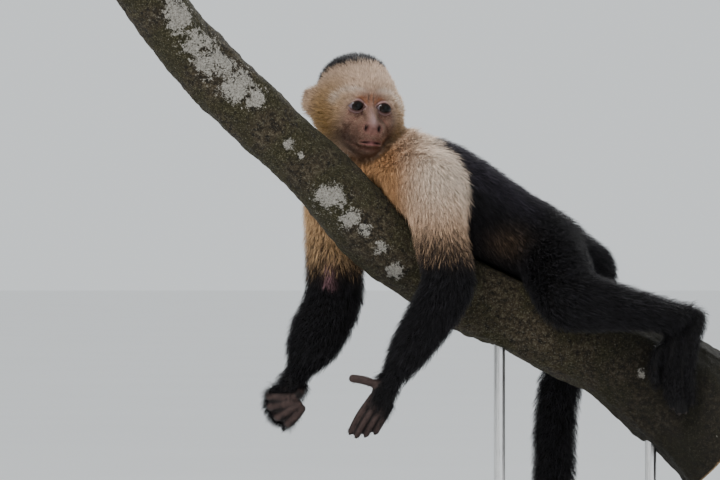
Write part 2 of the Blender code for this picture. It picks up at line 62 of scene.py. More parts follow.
LID_THICKNESS, OPENING_DIP = 0.75, 1.6  # over the eyeball, and into it where the lids are open
CORNEA_BULGE = 0.03
GAZE = (0.11, 1, 0.0)
IRIS_ANGLE, PUPIL_ANGLE, RIGHT_ANGLE = 41, 20, 90  # degrees off the gaze
MOUTH_HEIGHT, MOUTH_HALF_WIDTH = -27.0, 10.2

# ---- Hands and feet: the bare left hand hangs open, the right is closed, and the feet grip the branch

PALM_AT, PALM_ALONG = (-72, -72, 253), (-0.55, 0.06, -0.833)
PALM = [((-8, 0, 0), 9), ((4, 0, 0), 9.5), ((14, -2, 0.5), 8.8), ((23, -3, 1), 8)]
PALM_BREADTH, PALM_SLIMMER = 4, 0.78  # two rows of the palm's bar lie abreast, each slimmer than it
OPEN_FINGERS = [  # root, two joints and tip, in the palm's frame: along it, to the thumb, to the back
    ((17, 6, 1.5), (32, 6.5, 3.2), (42, 6, 1.4), (52.5, 4.6, -1.6)),
    ((19, -0.5, 3), (33, -0.2, 5.4), (43, -0.6, 3.6), (52, -1.6, 0)),
    ((18, -6.8, 1.6), (31, -6.6, 3.4), (39.5, -7.0, 1.2), (47, -7.8, -2)),
    ((15, -12, 0.2), (26, -12.6, 1.6), (33.5, -13, 0), (40.5, -13.6, -3)),
]
OPEN_THUMB = ((0, 3, 0), (6, 11, 0), (9, 20, 0), (13, 28.5, -1.5))
FIST, FIST_RADII = (-164, -12, 231), (13.5, 11, 14)
FIST_WRIST = [((-150, -10, 263), 11.5), ((-157, -11, 249), 12), ((-163, -12, 238), 11.5)]
FIST_FINGERS = [  # knuckle, middle joint, last joint and tip of each: the tips meet at the thumb's
    ((-171, -7, 247), (-176, -19, 241), (-166, -25, 240.5), (-156, -27, 241)),
    ((-173.5, -5, 237.5), (-175, -19.5, 232), (-164, -26, 234), (-153.5, -28, 237.5)),
    ((-169.5, -4, 229), (-169, -20.5, 223), (-159.5, -26.5, 228), (-150.5, -28, 234)),
    ((-163, -3, 223), (-160, -20, 217.5), (-153.5, -25.5, 223.5), (-148, -27, 230.5)),
]
FIST_THUMB = ((-152, -12, 251), (-148.5, -20, 248), (-149.5, -27.5, 244), (-154, -31, 241))
SOLE = [((191, -24, 309), 12), ((185, -28, 290), 11.5), ((182, -31, 272), 10.5)]
SOLE_BREADTH, SOLE_SLIMMER = 6, 0.82
TOES = [  # root, joint and tip
    ((172, -33, 272), (173, -37, 252), (177, -36, 233)),
    ((178.5, -34, 270), (179, -38, 248), (182, -36, 228.5)),
    ((185.5, -34, 270), (185, -38, 247), (187.5, -35, 229.5)),
    ((192, -32, 273), (192, -36, 254), (193.5, -33, 237)),
]
BIG_TOE = ((176, -28, 292), (166, -32, 282), (161.5, -35, 269), (162.5, -35, 255))
FOOT_MIRROR = 26
FINGER_RADIUS, THUMB_RADIUS, TOE_RADIUS, BIG_TOE_RADIUS = 3.25, 4.1, 3.7, 4.6
CLOSED_FINGER_RADIUS = 4.2

# ---- Skin and coat

SKIN_VOXEL, NODE_GROWTH = 0.92, 0.4  # the growth closes the cuts between the solids
SKIN_TRIANGLES, COARSE_SPACING = 185000, 3.2  # of the thinned skin, the second where the coat hides it
BARE = ("head", "ear", "hand", "foot")  # beginnings of the parts that are modelled finer than their solids
COAT = {  # beginning of a node's name: depth of the coat, length of its hairs, and their lift in degrees
    "head": (3.6, 7.5, 33),
    "ear": (0.5, 5, 40),
    "neck": (6.5, 12, 33),
    "chest": (6.5, 12, 32),
    "abdomen": (6, 11.5, 30),
    "pelvis": (7, 14, 42),
    "upper_arm": (6.5, 12, 32),
    "forearm": (7, 12.5, 34),
    "hand": (0.3, 7, 36),
    "thigh": (6.8, 13.5, 39),
    "shank": (6.2, 12, 37),
    "foot": (0.3, 9, 40),
    "tail_1": (7.8, 12.5, 37),
    "tail_2": (8, 12, 41),
    "tail_3": (8, 12, 41),
    "tail_4": (5.5, 10, 38),
}
HEAD_COAT = {  # the same for parts of the head
    "forehead": (2.4, 5.5, 30),
    "cap": (3.2, 9.5, 60),
    "temple": (4.2, 12, 42),
    "throat": (5, 11, 36),
    "face": (0.5, 3.2, 30),
}
PIECES = {  # each coat piece with the nodes that it covers, and how many bent and straight tufts it has
    "coat_face": ("head ear", 0, 20000),
    "coat_head": ("head ear", 7000, 31000),
    "coat_shoulders": ("neck chest", 6000, 32000),
    "coat_back": ("abdomen pelvis", 6000, 24000),
    "coat_arm_left": ("upper_arm_left forearm_left hand_left", 6500, 32000),
    "coat_arm_right": ("upper_arm_right forearm_right hand_right", 6500, 27000),
    "coat_leg_left": ("thigh_left shank_left foot_left", 6000, 25000),
    "coat_leg_right": ("thigh_right shank_right foot_right", 5000, 20000),
    "coat_tail_root": ("tail_1 tail_2", 5000, 15000),
    "coat_tail_end": ("tail_3 tail_4", 4000, 10000),
}
LIE = {  # beginning of a node's name: the line that its hairs follow
    "neck": ((-92, 8, 484), (-60, -2, 444)),
    "chest": ((-55, -2, 446), (-12, 3, 418), (30, 15, 388)),
    "abdomen": ((8, 9, 403), (54, 22, 374)),
    "pelvis": ((54, 22, 374), (78, 28, 352), (108, 52, 336)),
    "upper_arm_left": ((-37, -42, 436), (-18, -68, 339)),
    "upper_arm_right": ((-120, 23, 418), (-118, 26, 327)),
    "forearm_left": ((-18, -68, 339), (-72, -72, 253)),
    "forearm_right": ((-118, 26, 327), (-152, -12, 259)),
    "hand_left": ((-72, -72, 253), (-104, -70, 206)),
    "hand_right": ((-152, -12, 259), (-170, -30, 222)),
    "thigh_left": ((68, 9, 374), (84, -66, 326)),
    "thigh_right": ((69, 49, 374), (90, 136, 328)),
    "shank_left": ((84, -66, 326), (190, -30, 310)),
    "shank_right": ((90, 136, 328), (188, 83, 310)),
    "foot_left": ((198, -22, 314), (180, -34, 262), (180, -36, 226)),
    "foot_right": ((198, 74, 314), (180, 86, 262), (180, 88, 226)),
    "tail_1": ((90, 34, 350), (114, 62, 332), (112, 80, 306), (94, 89, 272)),
    "tail_2": ((94, 89, 272), (79, 90, 225), (77, 87, 180)),
    "tail_3": ((77, 87, 190), (76, 84, 145), (68, 82, 100)),
    "tail_4": ((70, 82, 104), (54, 80, 74), (28, 77, 57), (-16, 70, 62)),
}

# ---- Colours, linear

UNDER_COAT = 0.62  # how light the pale coat is at its roots, against its tips
CREAM_LIGHT = (0.64, 0.50, 0.41)
# painted highlight: the whiter cream on the top of the shoulders, where the light falls
SHOULDER_HIGHLIGHT = (0.72, 0.585, 0.475)
CREAM = (0.56, 0.38, 0.26)
TAN = (0.36, 0.235, 0.145)
GOLD = (0.25, 0.145, 0.045)
ORANGE = (0.43, 0.215, 0.080)
# painted light: a lighter tan for the far arm, which the branch shades
FAR_ARM_PAINTED_LIGHT = (0.66, 0.42, 0.21)
PALE = (0.62, 0.54, 0.48)
BLACK = (0.0035, 0.003, 0.0032)
BLACK_TIP = (0.011, 0.0105, 0.0125)
# painted sheen on the hair tips along the top of the back
SHEEN_TIP = (0.036, 0.032, 0.043)
FLANK_BROWN = (0.075, 0.050, 0.034)
ELBOW_SKIN = (0.26, 0.135, 0.15)
FACE = (0.135, 0.066, 0.049)
FACE_RED = (0.088, 0.034, 0.028)
LIP = (0.17, 0.068, 0.066)
BROW_RED = (0.165, 0.068, 0.030)
FACE_HAIR = (0.33, 0.225, 0.165)
MAUVE = (0.36, 0.27, 0.29)
DARK = (0.015, 0.007, 0.007)
HAND = (0.045, 0.028, 0.025)
FOOT = (0.003, 0.0026, 0.0026)

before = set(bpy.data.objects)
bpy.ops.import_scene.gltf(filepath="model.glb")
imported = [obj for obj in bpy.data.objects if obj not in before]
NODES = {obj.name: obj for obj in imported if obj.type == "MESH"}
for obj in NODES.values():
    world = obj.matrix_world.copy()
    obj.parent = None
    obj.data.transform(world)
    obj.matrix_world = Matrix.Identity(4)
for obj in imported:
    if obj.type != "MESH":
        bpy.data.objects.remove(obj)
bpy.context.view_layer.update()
FLESH = [n for n in NODES if not n.startswith(("eye", "perch", "stand"))]
ANY = math.inf  # a radius that leaves its direction out


# ================================================================ small tools


def unit(vectors):
    return vectors / np.maximum(np.linalg.norm(vectors, axis=-1, keepdims=True), 1e-9)


def ease(low, high, value):
    """0 below low, 1 above high, and smooth between them. low may be the higher of the two."""
    t = np.clip((np.asarray(value, float) - low) / (high - low), 0, 1)
    return t * t * (3 - 2 * t)


def mix(a, b, share):
    share = np.asarray(share, float)
    share = share[:, None] if share.ndim else share
    return np.asarray(a, float) * (1 - share) + np.asarray(b, float) * share


def bell(value, centre, width):
    """1 where the value is at the centre, fading to 0 on both sides over about that width."""
    return np.exp(-(((value - centre) / width) ** 2))


def spot(points, centre, radii):
    """1 at the centre, fading to 0 all round over about those radii."""
    return np.exp(-(((points - np.array(centre)) / np.array(radii)) ** 2).sum(axis=1))


def within(owners, *begins):
    """True for the points whose nearest solid has a name with one of these beginnings."""
    return np.array([name.startswith(begins) for name in FLESH])[owners]


def grain(points, size, seed=0):
    """Smooth noise from -1 to 1 with features of about that size."""
    at = np.asarray(points, float) / size + seed * 17.31
    cell = np.floor(at).astype(np.int64)
    part = at - cell
    part = part * part * (3 - 2 * part)
    total = np.zeros(len(at))
    for corner in range(8):
        step = np.array([corner & 1, corner >> 1 & 1, corner >> 2])
        i, j, k = (cell + step).T
        mixed = (i * 73856093) ^ (j * 19349663) ^ (k * 83492791)
        mixed = (mixed ^ (mixed >> 13)) * 1274126177 & 0x7FFFFFFF
        weight = np.prod(np.where(step, part, 1 - part), axis=1)
        total += weight * ((mixed >> 8 & 0xFFFF) / 32767.5 - 1)
    return total


def read(items, key, kind, per):
    """All values of that key in one of a mesh's collections, as rows."""
    flat = np.empty(len(items) * per, kind)
    items.foreach_get(key, flat)
    return flat.reshape(-1, per)


def points_of(mesh):
    return read(mesh.vertices, "co", np.float32, 3).astype(float) / MM


def move_points(mesh, points):
    mesh.vertices.foreach_set("co", (points * MM).astype(np.float32).ravel())
    mesh.update()


def normals_of(mesh):
    return read(mesh.vertex_normals, "vector", np.float32, 3).astype(float)


def edges_of(mesh):
    return read(mesh.edges, "vertices", np.int32, 2)


def rounds_for(reach, spacing=SKIN_VOXEL):
    """How many rounds of relax smooth a mesh of that spacing over that reach."""
    return max(1, round(4 * (reach / spacing) ** 2))


def relax(values, edges, rounds, free=1.0):
    """Averages each point's values with its neighbours', as far as each is free."""
    here = np.concatenate((edges[:, 0], edges[:, 1]))
    there = np.concatenate((edges[:, 1], edges[:, 0]))
    count = np.maximum(np.bincount(here, minlength=len(values)), 1)[:, None]
    free = np.reshape(free, (-1, 1))
    for _ in range(rounds):
        total = [np.bincount(here, column[there], len(values)) for column in values.T]
        values = values + (np.stack(total, axis=1) / count - values) * 0.5 * free
    return values


def add_object(name, mesh):
    made = bpy.data.objects.new(name, mesh)
    bpy.context.scene.collection.objects.link(made)
    return made


def from_bmesh(name, bm):
    """An object from a mesh that was modelled in millimetres."""
    bmesh.ops.scale(bm, vec=(MM, MM, MM), verts=bm.verts)
    bmesh.ops.recalc_face_normals(bm, faces=bm.faces)
    mesh = bpy.data.meshes.new(name)
    bm.to_mesh(mesh)
    bm.free()
    return add_object(name, mesh)


def settled(obj):
    """The object with its modifiers made part of its mesh."""
    bpy.context.view_layer.update()
    graph = bpy.context.evaluated_depsgraph_get()
    mesh = bpy.data.meshes.new_from_object(obj.evaluated_get(graph))
    obj.modifiers.clear()
    obj.data = mesh
    return obj


def remeshed(obj, voxel):
    blend = obj.modifiers.new("Blend", "REMESH")
    blend.mode = "VOXEL"
    blend.voxel_size = voxel * MM
    return settled(obj)


def set_colours(mesh, name, colours):
    layer = mesh.color_attributes.new(name, "FLOAT_COLOR", "POINT")
    filled = np.ones((len(colours), 4), np.float32)
    filled[:, :3] = np.clip(colours, 0, 1)
    layer.data.foreach_set("color", filled.ravel())


def set_values(mesh, name, values):
    layer = mesh.attributes.new(name, "FLOAT", "POINT")
    layer.data.foreach_set("value", np.asarray(values, np.float32))


def finished(piece, material, slot, *nodes):
    """Gives a piece its material and its body, and hides the nodes that it stands for. The slot is not used.
    """
    piece.data.materials.clear()
    piece.data.materials.append(material)
    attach(piece, "root")
    if nodes:
        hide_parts(*nodes)
    return piece


# ================================================================ forms

FINE_BALL, BAR_BALL, NAIL_BALL = (28, 18), (14, 8), (12, 8)  # segments round and from pole to pole


def ball(bm, centre, radii, turn=Matrix(), detail=FINE_BALL):
    place = Matrix.Translation(centre) @ turn @ Matrix.Diagonal((*radii, 1))
    bmesh.ops.create_uvsphere(bm, u_segments=detail[0], v_segments=detail[1], radius=1.0, matrix=place)


def curve_through(points, per_span):
    """More points on one smooth line through those given."""
    points = [np.array(p, float) for p in points]
    padded = [points[0], *points, points[-1]]
    out = []
    for a, b, c, d in zip(padded, padded[1:], padded[2:], padded[3:]):
        for k in range(per_span):
            t = k / per_span
            square, cube = 2 * a - 5 * b + 4 * c - d, 3 * b - a - 3 * c + d
            out.append(0.5 * (2 * b + (c - a) * t + square * t**2 + cube * t**3))
    return out + [points[-1]]


def bar(bm, stations, per_span=6):
    """A round bar with domed ends along a smooth line through stations of a point and a radius."""
    made = bmesh.new()
    for x, y, z, radius in curve_through([(*at, radius) for at, radius in stations], per_span):
        ball(made, (x, y, z), (radius,) * 3, detail=BAR_BALL)
    merge(bm, made)


def digit(bm, points, radius, place=Matrix()):
    """A finger or toe with a slight swelling at its joints and a rounded pad at its tip."""
    last = len(points) - 1
    sizes = [1.0, *([1.04] * (last - 1)), 1.0]
    bar(bm, [(place @ Vector(at), radius * size) for at, size in zip(points, sizes)])


def head_matrix():
    forward = Vector((math.sin(HEAD_TURN), -math.cos(HEAD_TURN), 0))
    left = Vector((math.cos(HEAD_TURN), math.sin(HEAD_TURN), 0))
    facing = Matrix((left, -forward, Vector((0, 0, 1)))).transposed().to_4x4()
    lean = Matrix.Rotation(-HEAD_TILT, 4, forward) @ Matrix.Rotation(HEAD_NOD, 4, left)
    return Matrix.Translation(HEAD) @ lean @ facing @ Matrix.Diagonal((1, -1, 1, 1))


def palm_matrix():
    """The frame of the open hand: +X along it, +Y towards its thumb and +Z out of its back."""
    along = Vector(PALM_ALONG).normalized()
    back = Vector((0, -1, 0))
    back = (back - along * along.dot(back)).normalized()
    turn = Matrix((along, along.cross(back), back)).transposed().to_4x4()
    return Matrix.Translation(PALM_AT) @ turn


def on_side(point, side):
    """A point of the left foot, or its mirror on the right."""
    x, y, z = point
    return (x, y if side == "left" else 2 * FOOT_MIRROR - y, z)


TO_WORLD = head_matrix()
TO_HEAD = np.array(TO_WORLD.inverted())


def in_head(points):
    return points @ TO_HEAD[:3, :3].T + TO_HEAD[:3, 3]


def folded(head):
    """Places in the head's frame, with those of its right side mirrored to its left."""
    return np.where((True, False, False), np.abs(head), head)


def add_head(bm):
    made = bmesh.new()
    for centre, radii in HEAD_FORMS:
        ball(made, centre, radii)
    for (x, y, z), radii in PAIRED_HEAD_FORMS:
        for side in (1, -1):
            ball(made, (side * x, y, z), radii)
    bar(made, NOSE)
    bar(made, LIPS)
    for side in (1, -1):
        flare = Matrix.Rotation(side * EAR_FLARE, 4, "Z")
        x, y, z = EAR
        ball(made, (side * x, y, z), EAR_RADII, flare)
        ball(made, (side * (x - 3), y + 4, z - 2), (3, 5, 8), flare)  # the ear's root
    bmesh.ops.transform(made, matrix=TO_WORLD, verts=made.verts)
    merge(bm, made)


def merge(bm, made):
    mesh = bpy.data.meshes.new("merged")
    made.to_mesh(mesh)
    made.free()
    bm.from_mesh(mesh)
    bpy.data.meshes.remove(mesh)


def add_open_hand(bm):
    place = palm_matrix()
    for side in (-1, 1):
        shift = Vector((0, side * PALM_BREADTH, 0))
        bar(bm, [(place @ (Vector(at) + shift), radius * PALM_SLIMMER) for at, radius in PALM])
    for points in OPEN_FINGERS:
        digit(bm, points, FINGER_RADIUS, place)
    digit(bm, OPEN_THUMB, THUMB_RADIUS, place)


def add_fist(bm):
    ball(bm, FIST, FIST_RADII)
    bar(bm, FIST_WRIST)
    for points in FIST_FINGERS:
        digit(bm, points, CLOSED_FINGER_RADIUS)
    digit(bm, FIST_THUMB, THUMB_RADIUS)


def add_foot(bm, side):
    for shift in (-SOLE_BREADTH, SOLE_BREADTH):
        bar(bm, [(on_side((x + shift * 0.9, y, z), side), r * SOLE_SLIMMER) for (x, y, z), r in SOLE])
    for points in TOES:
        digit(bm, [on_side(at, side) for at in points], TOE_RADIUS)
    digit(bm, [on_side(at, side) for at in BIG_TOE], BIG_TOE_RADIUS)


def solid_copy(name):
    """A copy of a solid in millimetres, with its triangles joined."""
    made = bmesh.new()
    made.from_mesh(NODES[name].data)
    bmesh.ops.remove_doubles(made, verts=made.verts, dist=1e-6)
    bmesh.ops.scale(made, vec=(1 / MM,) * 3, verts=made.verts)
    return made


def add_node(bm, name):
    """A copy of a solid, grown a little so that it meets its neighbours."""
    made = solid_copy(name)
    made.normal_update()
    for vertex in made.verts:
        vertex.co += vertex.normal * NODE_GROWTH
    merge(bm, made)


# ================================================================ skin


def node_finder(names):
    """A function that gives, for each point, the place in names of the solid that is nearest."""
    points, faces, owner = [], [], []
    for place, name in enumerate(names):
        mesh = NODES[name].data
        first = len(points)
        points += [vertex.co / MM for vertex in mesh.vertices]
        faces += [[first + i for i in face.vertices] for face in mesh.polygons]
        owner += [place] * len(mesh.polygons)
    tree = BVHTree.FromPolygons(points, faces)
    owner = np.array(owner)
    return lambda at: owner[[tree.find_nearest(point)[2] for point in at]]


def by_beginning(table, names):
    """The table's entry for each name, by the beginning that fits it."""
    return [next(value for start, value in table.items() if name.startswith(start)) for name in names]


def face_share(head):
    """1 on the front of the face, where the hairs are short and fine, and 0 on the rest of the head."""
    x, y, z = head.T
    oval = np.sqrt((x / 24) ** 2 + ((z + 11) / 29) ** 2)
    return ease(1.12, 0.84, oval) * ease(12, 22, y)


def cap_share(head):
    """1 on the black cap of the crown and nape."""
    x, y, z = head.T
    ragged = grain(head, 3, 11) * 1.6
    return ease(-2.2, 2.2, z - 32.2 - 0.5 * (y + 8) - 0.05 * x + ragged) * ease(24, 8, y)


def lid_ring(head):
    """How far a place on the face is from the middle of an eye's opening: 1 along the edge of its lids."""
    across = np.abs(head[:, 0]) - EYE_SPOT[0]
    up = head[:, 2] - EYE_SPOT[2] + 0.06 * across
    return (across / EYE_HALF_WIDTH) ** 2 + np.abs(up) / np.where(up > 0, UPPER_LID, LOWER_LID)


def eye_away(head, stretch):
    """How far a place on the face is from an eye's middle, with the way across counted less."""
    return np.hypot((np.abs(head[:, 0]) - EYE_SPOT[0]) / stretch, head[:, 2] - EYE_SPOT[2])


def bald_share(head):
    """1 where the face has no hair at all: lids, lips, nose, frown and the band over each eye."""
    x, y, z = head.T
    nose = spot(head, (0, 0, -14.5), (9.5, ANY, 6))
    lips = np.exp(-((x / 11) ** 4) - ((z - MOUTH_HEIGHT) / 3.2) ** 4)
    band = bell(eye_away(head, 1.3), 8.3, 2.2) * ease(2, 5, z)
    frown = spot(head, (0, 0, 10), (4, ANY, 6))
    skin = np.maximum(np.maximum(nose * 1.4, lips * 1.2), 0.85 * np.maximum(band, frown))
    return np.clip(skin + ease(2.4, 1.4, lid_ring(head)), 0, 1) * (y > 15)


BARE_ENDS = {  # a point, the way to the tips, and where along it the hair begins to end and has ended
    "hand_left": ((-74, -72, 250), (-0.55, 0.06, -0.83), 12, 27),
    "foot_left": ((192, -28, 300), (-0.1, -0.1, -1), 56, 72),
    "foot_right": ((192, 80, 300), (-0.1, 0.1, -1), 56, 72),
}
PALM_SIDE = (-0.83, 0, 0.55)
FIST_COAT = (1.35, 1.3)  # how much longer and more lifted the hairs on the closed hand are


def hand_share(points, owners):
    """1 on bare fingers, palms, toe tips and soles. Hair runs down the backs of the hands and feet."""
    share = np.zeros(len(points))
    rough = grain(points, 4, 12) * 3
    for name, (start, way, first, last) in BARE_ENDS.items():
        along = (points - start) @ unit(np.array(way)) + rough
        here = ease(first, last, along)
        if name == "hand_left":
            inner = (points - start) @ np.array(PALM_SIDE)
            here = np.maximum(here, ease(4, 9, inner + rough * 0.5))
            here *= ease(-15, -7, inner + 0.35 * (along - 12)) + ease(26, 32, along)
        share = np.maximum(share, np.clip(here, 0, 1) * within(owners, name))
    front = ease(-16, -21, points[:, 1] + 0.4 * rough) * ease(250, 241, points[:, 2] + 1.5 * rough)
    return np.where(within(owners, "hand_right"), front, share)


def coat_fields(mesh, points, find, spacing=SKIN_VOXEL):
    """Per point: the nearest solid, the depth, length and lift of the coat, and the share of bare face."""
    owners = find(points)
    table = np.array(by_beginning(COAT, FLESH), float)
    fields = table[owners]
    head = in_head(points)
    on_head = within(owners, "head")
    temple = (((folded(head) - (32, 0, -3)) / (14, 16, 22)) ** 2).sum(axis=1)
    shares = {
        "forehead": ease(16, 30, head[:, 2]) * ease(-4, 12, head[:, 1]),
        "temple": np.exp(-(temple**1.5)),
        "throat": ease(-30, -42, head[:, 2]),
        "cap": cap_share(head),
        "face": face_share(head),
    }
    for part, share in shares.items():
        fields = mix(fields, HEAD_COAT[part], share * on_head)
    fields = relax(fields, edges_of(mesh), rounds_for(3.6, spacing))
    face = shares["face"] * on_head
    fields[:, 0] = fields[:, 0] * (1 - 0.8 * face) + 0.1
    fields[:, 1] *= 1 - 0.45 * hand_share(points, owners)
    fields[within(owners, "hand_right"), 1:] *= FIST_COAT
    tip = np.linalg.norm(points - np.array(LIE["tail_4"][-1]), axis=1)
    fields[:, 0] *= 0.45 + 0.55 * ease(0, 34, tip)
    return owners, fields, face


def base_flesh():
    """The whole body as one smooth closed mesh at the coat's outline, bare parts at their own."""
    bm = bmesh.new()
    for name in FLESH:
        if not name.startswith(BARE):
            add_node(bm, name)
    add_head(bm)
    add_open_hand(bm)
    add_fist(bm)
    for side in SIDES:
        add_foot(bm, side)
    return remeshed(from_bmesh("skin", bm), SKIN_VOXEL)


STROKES = [  # centre and radii in the head's frame, push outwards, and whether on both sides
    ((6.1, 46, -14.5), (1.4, 5, 2.8), -3.4, True),  # nostril
    ((9.0, 42, -13.8), (1.6, 5, 3.6), 1.0, True),  # its wing
    ((0, 46, -11.5), (2.6, 6, 4), 0.8, False),  # tip of the nose
    ((0, 46, -18.5), (1.3, 6, 3.5), -0.6, False),  # groove below it
    ((0, 36, -2), (3, 8, 7), 0.5, False),  # bridge
    ((2.3, 33, 11), (0.8, 7, 6), -1.1, True),  # frown folds
    ((5.6, 33, 12.5), (0.9, 7, 4), -0.6, True),
    ((12.5, 33, 15.0), (9.5, 8, 2.6), 1.3, True),  # brow
    ((13, 33, 11.2), (8.5, 7, 1.0), -0.6, True),  # crease below it
    ((14.5, 38, -20), (2.0, 8, 7), -0.8, True),  # fold from nose to mouth
    ((10.5, 38, -4), (1.3, 8, 5), -0.6, True),  # fold from the eye's corner
    ((17.5, 34, -11), (6, 8, 4), 0.7, True),  # cheekbone
    ((0, 42, -33.5), (8, 8, 1.6), -0.8, False),  # crease below the lip
    ((0, 40, -39), (7, 8, 4.5), 0.9, False),  # chin
]


def sculpt_eyes(head):
    """Wraps the lids round the eyeballs and opens them: inside the opening the skin dips into the ball."""
    side = np.where(head[:, 0] < 0, -1, 1)
    off = folded(head) - np.array(EYE_SPOT)
    far = np.linalg.norm(off, axis=1)
    ring = lid_ring(head)
    front = ease(0, 3, off[:, 1]) * (far < 22)
    lid = EYE_RADIUS + LID_THICKNESS + 0.2 * bell(ring, 1.25, 0.22)
    lid -= 0.45 * bell(ring, 1.9, 0.16) - 0.25 * bell(ring, 2.25, 0.25)
    wrapped = mix(far[:, None], lid[:, None], ease(3.0, 1.6, ring) * front)[:, 0]
    wrapped = mix(wrapped[:, None], [[EYE_RADIUS - OPENING_DIP]], ease(1.12, 0.86, ring) * front)[:, 0]
    moved = np.array(EYE_SPOT) + off * (wrapped / np.maximum(far, 1e-6))[:, None]
    moved[:, 0] *= side
    return moved


def lips_at(head):
    """Three shares from 0 to 1: of the gap between the lips, of the upper lip and of the lower one."""
    x, y, z = head.T
    across = np.clip(np.abs(x) / MOUTH_HALF_WIDTH, 0, 1)
    wide = np.sqrt(1 - across**2) * (y > 30)
    upper_edge = MOUTH_HEIGHT + 1.5 * (1 - across**1.4) - 0.5
    lower_edge = MOUTH_HEIGHT - 0.9 * (1 - across**2) - 0.5
    gap = ease(0.35, -0.35, z - upper_edge) * ease(-0.35, 0.35, z - lower_edge + 0.4) * wide**0.5
    upper = bell(z - upper_edge, 1.2, 0.95) * wide
    lower = bell(z - lower_edge, -1.3, 1.05) * wide
    return gap, upper, lower


def sculpt_mouth(head, normals):
    gap, upper, lower = lips_at(head)
    tongue = bell(head[:, 0], 0, 4)
    push = 0.15 * upper + 0.3 * lower - (2.6 - 1.2 * tongue) * gap
    return head + normals * push[:, None]


def sculpt_ear(head, normals):
    """Hollows the ear's outer face and leaves a rolled rim."""
    x, y, z = EAR
    outward = np.abs(head[:, 0])
    back = ((head[:, 1] - y) * math.cos(EAR_FLARE) + (outward - x) * math.sin(EAR_FLARE)) / EAR_RADII[1]
    up = (head[:, 2] - z) / EAR_RADII[2]
    out = ease(x - 2.5, x + 0.5, outward)
    middle = np.hypot(back - 0.12, up)
    hollow = ease(0.85, 0.45, middle) * out
    ridge = bell(middle, 0.5, 0.13) * out * (back < 0.1)
    return head + normals * (0.5 * ridge - 2.6 * hollow)[:, None]


HEAD_REACH = 75


def sculpt_head(mesh, points):
    """Works the face's forms into the skin, in the head's frame."""
    near = np.linalg.norm(points - np.array(HEAD), axis=1) < HEAD_REACH
    turn = np.array(TO_WORLD)[:3, :3]
    head = in_head(points[near])
    normals = normals_of(mesh)[near] @ turn
    push = np.zeros(len(head))
    for centre, radii, out, paired in STROKES:
        push += out * spot(folded(head) if paired else head, centre, radii)
    head = head + normals * push[:, None]
    head = sculpt_mouth(head, normals)
    head = sculpt_ear(head, normals)
    head = sculpt_eyes(head)
    points = points.copy()
    points[near] = head @ turn.T + np.array(HEAD)
    return points


def subdivided_near(obj, keep):
    """The mesh with its edges halved where keep(points) is true."""
    bm = bmesh.new()
    bm.from_mesh(obj.data)
    bm.verts.ensure_lookup_table()
    chosen = keep(points_of(obj.data))
    edges = [edge for edge in bm.edges if chosen[edge.verts[0].index] and chosen[edge.verts[1].index]]
    bmesh.ops.subdivide_edges(bm, edges=edges, cuts=1, use_grid_fill=True, smooth=0.0)
    bm.to_mesh(obj.data)
    bm.free()


def near_face(points):
    head = in_head(points)
    oval = np.sqrt((head[:, 0] / 25) ** 2 + ((head[:, 2] + 8) / 32) ** 2)
    return (oval < 1) & (head[:, 1] > 18)


BODY_SMOOTHING, COATED_SMOOTHING, BARE_SMOOTHING = 7, 4.2, 0.5  # how far each kind of smoothing reaches
BARE_BLEND = 2.6


def make_skin():
    """The finished skin, and a function that finds the nearest solid of each point."""
    skin = base_flesh()
    find = node_finder(FLESH)
    mesh = skin.data
    points = points_of(mesh)
    owners, fields, _ = coat_fields(mesh, points, find)
    edges = edges_of(mesh)
    bare = within(owners, *BARE)[:, None].astype(float)
    stiff = relax(bare, edges, rounds_for(BARE_BLEND))
    points = relax(points, edges, rounds_for(BODY_SMOOTHING), 1 - stiff)
    points = relax(points, edges, rounds_for(BARE_SMOOTHING))
    move_points(mesh, points)
    depth = relax(fields[:, :1], edges, rounds_for(1.4))
    own = normals_of(mesh)
    smooth = unit(relax(own, edges, rounds_for(3)))
    inward = unit(mix(own, smooth, ease(1.2, 3.0, depth[:, 0])))
    points = points - inward * depth
    points = relax(points, edges, rounds_for(COATED_SMOOTHING), np.clip(depth / 4, 0, 1) ** 2)
    move_points(mesh, points)
    subdivided_near(skin, near_face)
    move_points(mesh, sculpt_head(mesh, points_of(mesh)))
    return thinned(skin, find), find


def thinned(skin, find):
    """The skin with fewer, larger faces where the coat hides it."""
    points = points_of(skin.data)
    head = in_head(points)
    near = near_face(points) | (np.abs(head[:, 0]) > 37) & (np.linalg.norm(head, axis=1) < 60)
    bare = near | within(find(points), "hand", "foot", "ear")
    group = skin.vertex_groups.new(name="hidden")
    group.add(np.flatnonzero(~bare).tolist(), 1.0, "REPLACE")
    thin = skin.modifiers.new("Thin", "DECIMATE")
    thin.vertex_group = "hidden"
    thin.ratio = min(1.0, SKIN_TRIANGLES / sum(len(face.vertices) - 2 for face in skin.data.polygons))
    settled(skin)
    skin.vertex_groups.clear()
    return skin


# ================================================================ markings, the same for skin and coat


SLEEVES = {"left": (348, 408), "right": (340, 398)}  # heights where each arm is all black and all pale


